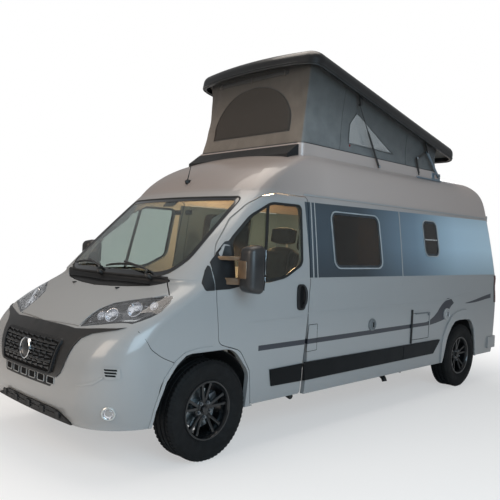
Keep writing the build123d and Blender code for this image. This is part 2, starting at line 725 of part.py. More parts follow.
# ---------------------------------------------------------------- rear bumper and side skirts
BUMPER_REAR_LOW = 395.0
BUMPER_WRAP = 5700.0
lower_form = body_loft(LOWER_ROWS, 0)
with BuildPart() as bumper_rear:
    with BuildSketch(Plane.XY.offset(BUMPER_REAR_LOW)):
        with Locations((x_at((BUMPER_WRAP + LENGTH) / 2), 0)):
            Rectangle(LENGTH - BUMPER_WRAP, 2 * 1020)
    extrude(amount=REAR_DOOR_BOTTOM - SEAM - BUMPER_REAR_LOW)
    fillet(bumper_rear.edges().filter_by(Axis.Z).sort_by(Axis.X)[:2], 110)
    add(lower_form, mode=Mode.SUBTRACT)
    for side in (1, -1):
        low, high = sorted((side * 400, side * 460))
        add(box_at(5821, 5940, low, high, 430, 530))
save(bumper_rear, "bumper_rear")

TRIM_THICK = 12.0
SKIRT = [(2020, 455), (2016, 616), (4428, 616), (4288, 465)]
trim_form = body_loft(LOWER_ROWS, -TRIM_THICK)
with BuildPart() as side_skirts:
    add(side_block(SKIRT, 300, BRIM, 12))
    mirror(about=Plane.XZ)
    add(trim_form, mode=Mode.INTERSECT)
    add(lower_form, mode=Mode.SUBTRACT)
save(side_skirts, "side_skirts")

# ---------------------------------------------------------------- inside the cab and the living space
with BuildPart() as dashboard:
    add(side_block(
        [(700, 1292), (1150, 1292), (1150, 900), (1380, 960), (1420, 1180), (1340, 1322), (1150, 1345), (760, 1335)],
        -BRIM, BRIM,
    ))
    add(inner_form, mode=Mode.INTERSECT)
    add(door_swing_room, mode=Mode.SUBTRACT)
    add(door_swing_room.mirror(Plane.XZ), mode=Mode.SUBTRACT)
STEER_AT = 480.0
STEER_HUB = (1560.0, 1215.0)
STEER_LEAN = 58.0
column_dir = (-math.cos(math.radians(STEER_LEAN)) * 1.0, 0, math.sin(math.radians(STEER_LEAN)))
steer_plane = Plane(
    origin=(x_at(STEER_HUB[0]), STEER_AT, STEER_HUB[1]), x_dir=(0, 1, 0), z_dir=column_dir
)
SHAFT_RADIUS = 14.0
rim_section = Plane(
    origin=steer_plane.origin, x_dir=(0, 1, 0), z_dir=steer_plane.x_dir.cross(steer_plane.z_dir)
)
with BuildPart() as steering_wheel:
    with BuildSketch(rim_section):
        with Locations((190, 0)):
            Circle(15)
    revolve(axis=Axis(steer_plane.origin, steer_plane.z_dir))
    with BuildSketch(steer_plane.offset(-25)):
        Circle(52)
        for turn in (0, 180, 270):
            with PolarLocations(0, 1, start_angle=turn):
                with Locations((95, 0)):
                    Rectangle(190, 34)
    extrude(amount=22)
    with BuildSketch(steer_plane.offset(-150)):
        Circle(SHAFT_RADIUS)
    extrude(amount=130)
save(steering_wheel, "steering_wheel")

with BuildPart() as dash_whole:
    add(dashboard.part)
    with BuildSketch(steer_plane.offset(-320)):
        Circle(42)
    extrude(amount=235)
    with BuildSketch(steer_plane.offset(-160)):
        Circle(SHAFT_RADIUS + PILOT_CLEARANCE)
    extrude(amount=110, mode=Mode.SUBTRACT)
save(dash_whole, "dashboard")

with BuildPart() as cab_seats:
    for side in (1, -1):
        centre = side * 480
        add(box_at(1720, 2130, centre - 190, centre + 190, FLOOR_TOP, 860))
        add(box_at(1640, 2170, centre - 260, centre + 260, 860, 1010))
        add(side_block([(2060, 1000), (2190, 1000), (2330, 1620), (2220, 1640)], centre - 240, centre + 240, 30))
        add(side_block([(2222, 1630), (2322, 1610), (2355, 1790), (2262, 1810)], centre - 140, centre + 140, 30))
save(cab_seats, "cab_seats")

with BuildPart() as furniture:
    add(box_at(3650, 4250, 380, BRIM, FLOOR_TOP, 2300))
    add(box_at(3320, 4250, -BRIM, -430, FLOOR_TOP, 1480))
    add(box_at(4330, 5700, 520, BRIM, 1900, 2280))
    add(box_at(4330, 5700, -BRIM, -520, 1900, 2280))
    add(box_at(2960, 3480, 420, BRIM, 1300, 1330))
    add(box_at(3180, 3240, 520, 580, FLOOR_TOP, 1300))
    add(inner_form, mode=Mode.INTERSECT)
save(furniture, "furniture")

with BuildPart() as soft_seats:
    add(box_at(2480, 2900, 390, 930, FLOOR_TOP, 1040))
    add(side_block([(2380, 600), (2478, 600), (2478, 1040), (2540, 1060), (2500, 1520), (2400, 1520)], 390, 930, 12))
    add(box_at(4330, 5800, -BRIM, BRIM, 1120, 1250))
    add(inner_form, mode=Mode.INTERSECT)
save(soft_seats, "bench_and_bed")

# ---------------------------------------------------------------- pop-up roof
tilt = math.radians(ROOF_TILT)
roof_plane = Plane(
    origin=(x_at(ROOF_REAR[0]), 0, ROOF_REAR[1]),
    x_dir=(math.cos(tilt), 0, math.sin(tilt)),
    z_dir=(-math.sin(tilt), 0, math.cos(tilt)),
)
ROOF_BOW = 80.0
ROOF_CROWN = 40.0
CAVITY = ROOF_EDGE - 30
HANGER_IN = 776.0


def roof_rim(station):
    """Height of the roof shell's bottom edge over a station."""
    return ROOF_REAR[1] + (ROOF_REAR[0] - station) * math.tan(tilt)


def roof_sketch(inset, corner):
    half = ROOF_HALF - inset
    straight = ROOF_LENGTH - ROOF_BOW - inset
    with BuildSketch(roof_plane) as outline:
        with BuildLine():
            Polyline((straight, half), (inset, half), (inset, -half), (straight, -half))
            ThreePointArc((straight, -half), (ROOF_LENGTH - inset, 0), (straight, half))
        make_face()
        fillet(outline.vertices(), corner - inset)
    return outline.sketch


roof_outer = roof_sketch(0, 150)
roof_inner = roof_sketch(ROOF_SKIN, 150)
with BuildPart() as pop_roof:
    add(roof_outer)
    extrude(amount=ROOF_EDGE + ROOF_CROWN, dir=roof_plane.z_dir)
    top = pop_roof.faces().filter_by(
        lambda face: (face.normal_at(face.center()) - roof_plane.z_dir).length < 0.01
    )[0]
    fillet(top.edges(), 90)
    add(roof_inner)
    extrude(amount=CAVITY, dir=roof_plane.z_dir, mode=Mode.SUBTRACT)
    for side in (1, -1):
        low, high = sorted((side * HANGER_IN, side * (ROOF_HALF - ROOF_SKIN)))
        for (station, height), spread in ((ARM_TOP, 95), (STRUT_TOP, 40)):
            add(side_block(
                [
                    (station - spread, roof_rim(station - spread) + 60),
                    (station - 15, height - 8), (station, height - 17), (station + 15, height - 8),
                    (station + spread, roof_rim(station + spread) + 60),
                ],
                low, high,
            ))
        add(drum(*ARM_TOP, PIN_RADIUS + PILOT_CLEARANCE, *sorted((side * 700, side * 800))), mode=Mode.SUBTRACT)
save(pop_roof, "pop_roof")

frame_ring = plan_block(
    [(FRAME_FRONT, -FRAME_HALF), (FRAME_REAR, -FRAME_HALF), (FRAME_REAR, FRAME_HALF), (FRAME_FRONT, FRAME_HALF)],
    2380, FRAME_TOP, 60,
)
frame_hole = plan_block(
    [
        (FRAME_FRONT + FRAME_RIM, FRAME_RIM - FRAME_HALF), (FRAME_REAR - FRAME_RIM, FRAME_RIM - FRAME_HALF),
        (FRAME_REAR - FRAME_RIM, FRAME_HALF - FRAME_RIM), (FRAME_FRONT + FRAME_RIM, FRAME_HALF - FRAME_RIM),
    ],
    2300, FRAME_TOP + 10, 60 - FRAME_RIM / 2,
)
LAYER_BASE = (FRAME_HALF, 744.0)
LAYER_FRONT_ARM = (746.0, 754.0)
LAYER_LINK = (756.0, 764.0)
LAYER_MAIN_ARM = (766.0, 774.0)
STRUT_Y = 765.0
STRUT_RADIUS = 10.0
ROD_RADIUS = 5.0
with BuildPart() as popup_frame:
    add(frame_ring)
    add(frame_hole, mode=Mode.SUBTRACT)
    add(outer_form, mode=Mode.SUBTRACT)
    for side in (1, -1):
        low, high = sorted((side * (FRAME_HALF - 2), side * LAYER_BASE[1]))
        for station, height in (LINK_BASE, ARM_BASE, STRUT_BASE):
            add(box_at(station - 40, station + 40, low, high, height - 22, height + 22))
        low, high = sorted((side * LAYER_BASE[0], side * LAYER_FRONT_ARM[1]))
        add(drum(*LINK_BASE, PIN_RADIUS, low, high))
        low, high = sorted((side * LAYER_BASE[0], side * LAYER_MAIN_ARM[1]))
        add(drum(*ARM_BASE, PIN_RADIUS, low, high))
        add(drum(*STRUT_BASE, PIN_RADIUS - 2, low, high))
    add(outer_form, mode=Mode.SUBTRACT)
save(popup_frame, "popup_frame")

with BuildPart() as roof_wedge:
    add(side_block([(2052, 2300), (2052, 2452), (2192, 2556), (FRAME_FRONT, 2556), (FRAME_FRONT, 2300)], -700, 700))
    add(outer_form, mode=Mode.SUBTRACT)
save(roof_wedge, "roof_wedge")

tent_top = (CAVITY - SEAT) / math.cos(tilt)
TENT_FRONT = 2218.0
TENT_FRONT_TOP = 2325.0
TENT_REAR = 4776.0
tent_base = FRAME_TOP + SEAT
with BuildPart() as tent:
    add(side_block(
        [
            (TENT_FRONT, tent_base), (TENT_REAR, tent_base), (TENT_REAR, roof_rim(TENT_REAR) + tent_top),
            (TENT_FRONT_TOP, roof_rim(TENT_FRONT_TOP) + tent_top),
        ],
        -TENT_HALF, TENT_HALF,
    ))
    add(side_block(
        [
            (TENT_FRONT + TENT_CLOTH - 12, tent_base - 100), (TENT_REAR - TENT_CLOTH, tent_base - 100),
            (TENT_REAR - TENT_CLOTH, roof_rim(TENT_REAR) + tent_top + 100),
            (TENT_FRONT_TOP + TENT_CLOTH + 12, roof_rim(TENT_FRONT_TOP) + tent_top + 100),
        ],
        TENT_CLOTH - TENT_HALF, TENT_HALF - TENT_CLOTH,
    ), mode=Mode.SUBTRACT)
save(tent, "tent")


def bar_between(start, end, width, low_y, high_y):
    """A flat bar with rounded eyes at both ends, in side view."""
    middle = ((start[0] + end[0]) / 2, (start[1] + end[1]) / 2)
    length = math.dist(start, end)
    lean = math.degrees(math.atan2(end[1] - start[1], start[0] - end[0]))
    with BuildPart() as bar:
        with BuildSketch(Plane.XZ.offset(-low_y)):
            with Locations(Location((x_at(middle[0]), middle[1], 0), (0, 0, lean))):
                SlotCenterToCenter(length, width)
        extrude(amount=low_y - high_y)
    return bar.part


with BuildPart() as lift_arms:
    for side in (1, -1):
        low, high = sorted((side * LAYER_MAIN_ARM[0], side * LAYER_MAIN_ARM[1]))
        add(bar_between(ARM_BASE, ARM_TOP, 30, low, high))
        low, high = sorted((side * LAYER_LINK[0], side * (ROOF_HALF - ROOF_SKIN - 1)))
        add(drum(*ARM_TOP, PIN_RADIUS, low, high))
        low, high = sorted((side * 700, side * 800))
        add(drum(*ARM_BASE, PIN_RADIUS + PILOT_CLEARANCE, low, high), mode=Mode.SUBTRACT)
save(lift_arms, "lift_arms")

with BuildPart() as front_arms:
    for side in (1, -1):
        low, high = sorted((side * LAYER_FRONT_ARM[0], side * LAYER_FRONT_ARM[1]))
        add(bar_between(LINK_BASE, LINK_TOP, 26, low, high))
        low, high = sorted((side * 700, side * 800))
        add(drum(*LINK_BASE, PIN_RADIUS + PILOT_CLEARANCE, low, high), mode=Mode.SUBTRACT)
save(front_arms, "front_arms")

with BuildPart() as link_bars:
    for side in (1, -1):
        low, high = sorted((side * LAYER_LINK[0], side * LAYER_LINK[1]))
        add(bar_between(LINK_TOP, ARM_TOP, 26, low, high))
        low, high = sorted((side * 700, side * 800))
        add(drum(*ARM_TOP, PIN_RADIUS + PILOT_CLEARANCE, low, high), mode=Mode.SUBTRACT)
save(link_bars, "link_bars")

strut_length = math.dist(STRUT_BASE, STRUT_TOP)
strut_dir = ((STRUT_BASE[0] - STRUT_TOP[0]) / strut_length, 0, (STRUT_TOP[1] - STRUT_BASE[1]) / strut_length)
BARREL_LENGTH = 400.0
ROD_INSIDE = 60.0
with BuildPart() as strut_barrels:
    for side in (1, -1):
        base = Plane(origin=(x_at(STRUT_BASE[0]), side * STRUT_Y, STRUT_BASE[1]), x_dir=(0, 1, 0), z_dir=strut_dir)
        with BuildSketch(base.offset(-10)):
            Circle(STRUT_RADIUS)
        extrude(amount=BARREL_LENGTH + 10)
        with BuildSketch(base.offset(20)):
            Circle(ROD_RADIUS + PILOT_CLEARANCE)
        extrude(amount=BARREL_LENGTH, mode=Mode.SUBTRACT)
        add(drum(*STRUT_BASE, PIN_RADIUS - 2 + PILOT_CLEARANCE, *sorted((side * 700, side * 800))), mode=Mode.SUBTRACT)
save(strut_barrels, "strut_barrels")

with BuildPart() as strut_rods:
    for side in (1, -1):
        base = Plane(origin=(x_at(STRUT_BASE[0]), side * STRUT_Y, STRUT_BASE[1]), x_dir=(0, 1, 0), z_dir=strut_dir)
        with BuildSketch(base.offset(BARREL_LENGTH - ROD_INSIDE)):
            Circle(ROD_RADIUS)
        extrude(amount=strut_length - BARREL_LENGTH + ROD_INSIDE)
        add(drum(*STRUT_TOP, 12, *sorted((side * 758, side * 772))))
save(strut_rods, "strut_rods")
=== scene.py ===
import sys

import json
import math

import bmesh
import bpy
from bpy.props import FloatVectorProperty, PointerProperty
from mathutils import Matrix, Vector, noise
from mathutils.bvhtree import BVHTree
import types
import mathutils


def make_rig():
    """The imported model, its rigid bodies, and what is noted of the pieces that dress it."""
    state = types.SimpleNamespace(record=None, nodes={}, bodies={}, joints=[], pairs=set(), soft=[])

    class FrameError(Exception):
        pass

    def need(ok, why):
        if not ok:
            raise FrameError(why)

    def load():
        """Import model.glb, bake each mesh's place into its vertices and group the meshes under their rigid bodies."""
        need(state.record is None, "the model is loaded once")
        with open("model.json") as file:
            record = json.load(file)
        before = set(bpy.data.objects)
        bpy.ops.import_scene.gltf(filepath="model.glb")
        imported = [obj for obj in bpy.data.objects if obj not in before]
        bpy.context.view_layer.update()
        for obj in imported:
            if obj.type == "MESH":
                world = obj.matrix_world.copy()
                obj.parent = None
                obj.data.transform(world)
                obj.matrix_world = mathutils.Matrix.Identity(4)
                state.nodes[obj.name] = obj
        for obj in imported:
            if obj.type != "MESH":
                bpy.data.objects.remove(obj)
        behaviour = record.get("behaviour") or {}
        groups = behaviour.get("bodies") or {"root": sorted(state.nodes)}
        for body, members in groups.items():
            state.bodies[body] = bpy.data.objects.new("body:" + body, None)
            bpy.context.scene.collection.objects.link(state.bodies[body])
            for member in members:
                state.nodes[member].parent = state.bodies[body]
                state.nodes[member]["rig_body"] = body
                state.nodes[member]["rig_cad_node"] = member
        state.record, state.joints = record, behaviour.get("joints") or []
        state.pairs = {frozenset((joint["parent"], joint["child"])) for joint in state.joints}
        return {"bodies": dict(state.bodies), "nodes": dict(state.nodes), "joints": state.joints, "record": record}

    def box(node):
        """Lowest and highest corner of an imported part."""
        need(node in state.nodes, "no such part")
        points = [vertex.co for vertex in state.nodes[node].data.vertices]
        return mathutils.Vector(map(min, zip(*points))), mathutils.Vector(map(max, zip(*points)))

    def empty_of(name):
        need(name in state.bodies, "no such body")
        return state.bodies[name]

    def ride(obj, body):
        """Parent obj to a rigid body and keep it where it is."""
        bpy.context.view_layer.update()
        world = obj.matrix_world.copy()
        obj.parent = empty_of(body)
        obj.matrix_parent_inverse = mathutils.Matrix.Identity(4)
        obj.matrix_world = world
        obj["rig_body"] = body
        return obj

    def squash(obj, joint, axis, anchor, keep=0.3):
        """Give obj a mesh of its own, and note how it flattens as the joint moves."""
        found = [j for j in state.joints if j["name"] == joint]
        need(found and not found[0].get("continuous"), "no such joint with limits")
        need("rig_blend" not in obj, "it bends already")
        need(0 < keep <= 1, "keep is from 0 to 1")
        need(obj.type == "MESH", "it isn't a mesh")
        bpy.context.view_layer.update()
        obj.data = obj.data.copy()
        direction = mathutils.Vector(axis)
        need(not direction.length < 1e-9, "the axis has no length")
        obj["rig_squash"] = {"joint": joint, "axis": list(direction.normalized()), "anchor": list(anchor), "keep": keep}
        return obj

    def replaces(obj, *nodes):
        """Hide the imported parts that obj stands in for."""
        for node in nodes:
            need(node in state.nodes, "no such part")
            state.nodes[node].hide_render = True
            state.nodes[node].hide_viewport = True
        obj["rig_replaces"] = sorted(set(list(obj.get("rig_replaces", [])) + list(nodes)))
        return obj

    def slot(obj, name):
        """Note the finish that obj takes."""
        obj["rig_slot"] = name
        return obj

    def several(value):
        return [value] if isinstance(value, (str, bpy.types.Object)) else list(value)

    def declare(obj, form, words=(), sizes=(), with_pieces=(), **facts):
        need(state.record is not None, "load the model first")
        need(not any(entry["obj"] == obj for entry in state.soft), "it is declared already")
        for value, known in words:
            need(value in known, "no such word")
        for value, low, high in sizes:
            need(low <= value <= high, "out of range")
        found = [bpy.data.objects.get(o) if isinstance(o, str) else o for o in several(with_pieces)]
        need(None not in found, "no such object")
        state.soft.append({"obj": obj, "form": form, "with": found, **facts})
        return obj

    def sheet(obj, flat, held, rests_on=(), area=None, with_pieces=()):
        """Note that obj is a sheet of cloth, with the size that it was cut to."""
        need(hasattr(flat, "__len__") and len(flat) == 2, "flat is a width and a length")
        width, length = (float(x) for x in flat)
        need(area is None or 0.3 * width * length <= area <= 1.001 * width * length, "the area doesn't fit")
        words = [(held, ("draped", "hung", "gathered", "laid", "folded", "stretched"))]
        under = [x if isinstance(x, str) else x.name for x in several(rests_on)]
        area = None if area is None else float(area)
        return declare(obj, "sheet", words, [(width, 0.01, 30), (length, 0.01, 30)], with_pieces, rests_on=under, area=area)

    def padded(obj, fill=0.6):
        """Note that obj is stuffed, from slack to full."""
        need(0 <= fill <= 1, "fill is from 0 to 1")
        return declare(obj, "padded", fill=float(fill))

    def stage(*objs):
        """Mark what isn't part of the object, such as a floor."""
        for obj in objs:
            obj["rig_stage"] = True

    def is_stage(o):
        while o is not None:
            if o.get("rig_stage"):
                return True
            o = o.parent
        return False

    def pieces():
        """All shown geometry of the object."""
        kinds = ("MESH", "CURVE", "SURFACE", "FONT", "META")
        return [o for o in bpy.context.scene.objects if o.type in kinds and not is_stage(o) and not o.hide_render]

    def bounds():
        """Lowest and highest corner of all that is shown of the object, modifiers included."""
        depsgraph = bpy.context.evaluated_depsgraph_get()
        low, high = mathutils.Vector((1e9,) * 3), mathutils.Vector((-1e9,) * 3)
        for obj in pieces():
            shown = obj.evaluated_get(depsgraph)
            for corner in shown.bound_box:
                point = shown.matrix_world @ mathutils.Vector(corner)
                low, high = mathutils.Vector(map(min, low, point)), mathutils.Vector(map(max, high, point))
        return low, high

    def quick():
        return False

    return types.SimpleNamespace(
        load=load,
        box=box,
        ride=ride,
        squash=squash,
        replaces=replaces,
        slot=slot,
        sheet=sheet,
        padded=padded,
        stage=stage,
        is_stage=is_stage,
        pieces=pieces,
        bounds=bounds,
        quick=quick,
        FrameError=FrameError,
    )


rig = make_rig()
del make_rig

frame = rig.load()
CAD_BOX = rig.bounds()

bl_info = {
    "name": "Camper van with a lifting roof",
    "version": (1, 0, 0),
    "blender": (4, 5, 0),
    "location": "View3D > Sidebar > Camper",
    "description": "Dresses the packed camper van with its finishes and fine pieces",
    "category": "Object",
}

NOSE = 2.999
HUB_HEIGHT = 0.372
ROOF_SLOPE = math.radians(11.7)
ROOF_RIM = 3.156  # the open shell's rim, above the origin
LEFT, RIGHT = 1, -1
SIDES = ((LEFT, "left"), (RIGHT, "right"))


# ---------------------------------------------------------------- places
def at(station, y, z):
    """A point from its station behind the nose, its side offset and its height, in millimetres."""
    return Vector((NOSE - station / 1000, y / 1000, z / 1000))


def tint(red, green, blue):
    """A linear colour from the three display values, 0 to 255."""
    return tuple(
        c / 12.92 if c <= 0.04045 else ((c + 0.055) / 1.055) ** 2.4
        for c in (red / 255, green / 255, blue / 255)
    ) + (1.0,)


OUTSIDE = [
    "bonnet", "headlamps", "bumper_front", "grille", "fender_left", "fender_right", "windscreen", "scuttle",
    "tail_lamps", "side_left", "side_right", "sliding_door", "side_windows", "roof_panel", "door_left",
    "door_right", "door_glass_left", "door_glass_right", "rear_door_left", "rear_door_right",
    "rear_glass_left", "rear_glass_right",
]


def skin_of(names):
    """A search tree over the outside of these nodes."""
    points, faces = [], []
    for name in names:
        mesh = frame["nodes"][name].data
        start = len(points)
        points.extend(v.co.copy() for v in mesh.vertices)
        faces.extend([start + i for i in p.vertices] for p in mesh.polygons)
    return BVHTree.FromPolygons(points, faces)


SKIN = skin_of(OUTSIDE)


def on_skin(point, outward, reach=0.009):
    """Where the body's outside lies under a point, bridging the seams between panels."""
    across = outward.orthogonal().normalized()
    along = outward.cross(across)
    best = None
    for a, b in ((0, 0), (reach, 0), (-reach, 0), (0, reach), (0, -reach)):
        start = point + across * a + along * b + outward * 4
        hit = SKIN.ray_cast(start, -outward)
        if hit[0] is not None and (best is None or hit[3] < best - 0.012 or ((a, b) == (0, 0))):
            if best is None or hit[3] < best:
                best = hit[3]
    if best is None:
        return None
    return point + outward * (4 - best)


# ---------------------------------------------------------------- finishes
def add_node(tree, kind, inputs=(), **settings):
    """A new node with its settings; each input is a value or the socket that feeds it."""
    node = tree.nodes.new(kind)
    for label, value in settings.items():
        setattr(node, label, value)
    for label, value in dict(inputs).items():
        socket = node.inputs[label]
        if isinstance(value, bpy.types.NodeSocket):
            tree.links.new(value, socket)
        else:
            socket.default_value = value
    return node


class Finish:
    """A node material under construction."""

    def __init__(self, name, colour, roughness, metallic=0.0, **sockets):
        self.material = bpy.data.materials.new(name)
        self.material.use_nodes = True
        self.nodes = self.material.node_tree.nodes
        self.links = self.material.node_tree.links
        self.shader = self.nodes["Principled BSDF"]
        self.shader.inputs["Base Color"].default_value = colour
        self.shader.inputs["Roughness"].default_value = roughness
        self.shader.inputs["Metallic"].default_value = metallic
        for label, value in sockets.items():
            self.shader.inputs[label.replace("_", " ")].default_value = value
        self.material.diffuse_color = colour
        self.place = self.add("ShaderNodeTexCoord").outputs["Object"]

    def add(self, kind, inputs=(), **settings):
        return add_node(self.material.node_tree, kind, inputs, **settings)

    def sums(self, operation, first, second=0.0, third=None):
        given = {0: first, 1: second}
        if third is not None:
            given[2] = third
        return self.add("ShaderNodeMath", given, operation=operation).outputs[0]

    def axes(self):
        split = self.add("ShaderNodeSeparateXYZ", {0: self.place})
        return split.outputs["X"], split.outputs["Y"], split.outputs["Z"]

    def noise(self, scale, detail=3.0, stretch=None):
        place = self.place
        if stretch:
            place = self.add("ShaderNodeMapping", {"Vector": place, "Scale": stretch}).outputs[0]
        return self.add("ShaderNodeTexNoise",
                        {"Vector": place, "Scale": scale, "Detail": detail}).outputs["Fac"]

    def ramp(self, value, *stops):
        node = self.add("ShaderNodeValToRGB", {"Fac": value})
        while len(node.color_ramp.elements) < len(stops):
            node.color_ramp.elements.new(0.5)
        for element, (where, colour) in zip(node.color_ramp.elements, stops):
            element.position = where
            element.color = colour
        return node.outputs["Color"]

    def blend(self, share, first, second, how="MIX"):
        node = self.add("ShaderNodeMix", data_type="RGBA", blend_type=how)
        for index, value in ((0, share), (6, first), (7, second)):
            if isinstance(value, bpy.types.NodeSocket):
                self.links.new(value, node.inputs[index])
            else:
                node.inputs[index].default_value = value
        return node.outputs[2]

    def colour(self, value):
        self.links.new(value, self.shader.inputs["Base Color"])

    def rough(self, value, low, high):
        spread = self.add("ShaderNodeMapRange", {"Value": value, "To Min": low, "To Max": high})
        self.links.new(spread.outputs[0], self.shader.inputs["Roughness"])

    def bump(self, height, depth, strength=1.0):
        before = self.shader.inputs["Normal"]
        node = self.add("ShaderNodeBump", {"Height": height, "Distance": depth, "Strength": strength})
        if before.links:
            self.links.new(before.links[0].from_socket, node.inputs["Normal"])
        self.links.new(node.outputs[0], before)


FINISHES = {}


def finish(name):
    """The finished material of that name, made once."""
    if name not in FINISHES:
        FINISHES[name] = (MAKERS[name]() if name in MAKERS else plain_finish(name)).material
        FINISHES[name].name = name
    return FINISHES[name]


def plain_finish(name):
    """A finish that has only a base, and noise in its grain, tones and wear."""
    row = PLAIN[name]
    made = Finish(name, *row["base"], **row.get("more", {}))
    if "grain" in row:
        made.bump(made.noise(*row["grain"][0]), *row["grain"][1:])
    if "tones" in row:
        made.colour(made.ramp(made.noise(*row["tones"][0]), *row["tones"][1:]))
    if "wear" in row:
        made.rough(made.noise(*row["wear"][0]), *row["wear"][1:])
    return made


def curve_of(made, value, points, high):
    """A smooth line of heights along a value from 0 to 1, scaled by high."""
    node = made.add("ShaderNodeFloatCurve", {"Value": value})
    line = node.mapping.curves[0]
    line.points[0].location = points[0]
    line.points[1].location = points[-1]
    for point in points[1:-1]:
        line.points.new(*point)
    for point in line.points:
        point.handle_type = "AUTO_CLAMPED"
    node.mapping.update()
    return made.sums("MULTIPLY", node.outputs[0], high)


def paint_base(name, colour):
    made = Finish(name, colour, 0.32, 0.0, Coat_Weight=0.55, Coat_Roughness=0.05, Specular_IOR_Level=0.5)
    orange_peel = made.noise(420, 2)
    made.bump(orange_peel, 0.00012, 0.35)
    made.rough(made.noise(3.5, 4), 0.27, 0.38)
    return made


def make_paint():
    """Body paint with the side band and the rising stripe, with painted light: a painted sheen and reflection on the
    band, and painted light and shade on the roof.
    """
    sizes = bpy.context.scene.camper_finish
    made = paint_base("body_paint", tuple(sizes.paint))
    x, y, z = made.axes()
    behind = made.sums("SUBTRACT", NOSE, x)
    side = made.sums("GREATER_THAN", made.sums("ABSOLUTE", y), 0.80)
    dusty = made.noise(2.2, 5)
    ground = made.ramp(made.sums("MULTIPLY", z, 0.5), (0.10, tuple(c * 0.86 for c in sizes.paint[:3]) + (1,)),
                       (0.42, tuple(sizes.paint)))
    lively = made.blend(made.sums("MULTIPLY", dusty, 0.10), ground,
                        tuple(c * 1.18 for c in sizes.paint[:3]) + (1,))
    share = made.sums("DIVIDE", made.sums("SUBTRACT", behind, 2.06), 3.90)
    # The band's printed gradient runs from its front tone to a lighter grey-blue; its lightest, bluest stops towards
    # the rear are partly a painted reflection.
    band_tone = made.ramp(
        share, (0.0, tuple(sizes.band)), (0.22, tuple(sizes.band)), (0.48, tint(112, 136, 153)),
        (0.72, tint(180, 208, 225)), (1.0, tint(200, 228, 243)),
    )
    height = made.sums("DIVIDE", made.sums("SUBTRACT", z, 1.345), 0.68)
    # Painted sheen: the band is lit brighter across its middle and painted darker towards its top and bottom edges.
    sheen = made.ramp(height, (0.0, (0.62, 0.62, 0.62, 1)), (0.45, (1, 1, 1, 1)),
                      (0.8, (0.98, 0.98, 0.98, 1)), (1.0, (0.84, 0.84, 0.84, 1)))
    band_tone = made.blend(1.0, band_tone, sheen, "MULTIPLY")
    limit = made.sums("MULTIPLY_ADD", behind, 0.009, 1.993)
    band = made.sums("MULTIPLY", side, made.sums("GREATER_THAN", z, 1.345))
    band = made.sums("MULTIPLY", band, made.sums("LESS_THAN", z, limit))
    band = made.sums("MULTIPLY", band, made.sums("GREATER_THAN", behind, 2.085))
    band = made.sums("MULTIPLY", band, made.sums("LESS_THAN", behind, 5.86))
    # Painted light and shade above the gutter: the paint is darker and browner towards the front and brighter towards
    # the rear.
    upper = made.ramp(made.sums("DIVIDE", made.sums("SUBTRACT", z, 1.98), 0.12), (0.0, (0, 0, 0, 1)),
                      (1.0, (1, 1, 1, 1)))
    aft = made.ramp(made.sums("DIVIDE", made.sums("SUBTRACT", behind, 1.55), 0.9), (0.0, (0, 0, 0, 1)),
                    (1.0, (1, 1, 1, 1)))
    r, g, b = tuple(sizes.paint)[:3]
    roof_tone = made.blend(aft, (r * 0.86, g * 0.72, b * 0.66, 1), (r * 1.42, g * 1.18, b * 1.08, 1))
    lively = made.blend(upper, lively, roof_tone)
    tone = made.blend(band, lively, band_tone)
    along = made.sums("DIVIDE", made.sums("SUBTRACT", behind, 1.446), 4.30)
    top = curve_of(made, along, [(0, 0.811), (0.2, 0.816), (0.4, 0.824), (0.56, 0.830), (0.616, 0.832),
                                 (0.640, 0.857), (0.671, 0.923), (0.690, 0.989), (0.711, 1.040),
                                 (0.737, 1.080), (0.780, 1.094), (1, 1.098)], 1.0)
    bottom = curve_of(made, along, [(0, 0.768), (0.2, 0.772), (0.4, 0.780), (0.56, 0.790), (0.640, 0.797),
                                    (0.681, 0.816), (0.714, 0.842), (0.734, 0.927), (0.759, 1.005),
                                    (0.785, 1.040), (0.85, 1.049), (1, 1.046)], 1.0)
    stripe = made.sums("MULTIPLY", made.sums("LESS_THAN", z, top), made.sums("GREATER_THAN", z, bottom))
    stripe = made.sums("MULTIPLY", stripe, side)
    stripe = made.sums("MULTIPLY", stripe, made.sums("GREATER_THAN", behind, 1.446))
    stripe = made.sums("MULTIPLY", stripe, made.sums("LESS_THAN", behind, 5.745))
    made.colour(made.blend(stripe, tone, tuple(sizes.stripe)))
    return made


def make_lamp_red():
    made = Finish("lamp_red", tint(120, 10, 12), 0.12, Coat_Weight=0.8, Coat_Roughness=0.03)
    z = made.axes()[2]
    rows = made.sums("SINE", made.sums("MULTIPLY", z, 420))
    made.bump(rows, 0.0012, 0.5)
    made.colour(made.ramp(made.sums("MULTIPLY_ADD", rows, 0.5, 0.5), (0.1, tint(96, 6, 8)),
                          (0.9, tint(150, 20, 20))))
    return made


def woven(name, first, second, scale=650, roughness=0.9):
    made = Finish(name, first, roughness, Sheen_Weight=0.25, Sheen_Roughness=0.5)
    x, y, z = made.axes()
    warp = made.sums("SINE", made.sums("MULTIPLY", made.sums("ADD", x, made.sums("MULTIPLY", z, 0.6)), scale))
    weft = made.sums("SINE", made.sums("MULTIPLY", made.sums("ADD", y, made.sums("MULTIPLY", z, 0.8)), scale))
    weave = made.sums("MULTIPLY", warp, weft)
    made.bump(weave, 0.0008, 0.6)
    shade = made.sums("MULTIPLY_ADD", weave, 0.18, made.noise(9, 5))
    made.colour(made.ramp(shade, (0.30, first), (0.72, second)))
    return made


def make_seat_fabric():
    return woven("seat_fabric", tint(39, 39, 40), tint(58, 58, 58))


def make_bench_fabric():
    return woven("bench_fabric", tint(120, 112, 102), tint(150, 141, 128))


def make_bed_fabric():
    return woven("bed_fabric", tint(196, 192, 184), tint(222, 219, 212), 900)


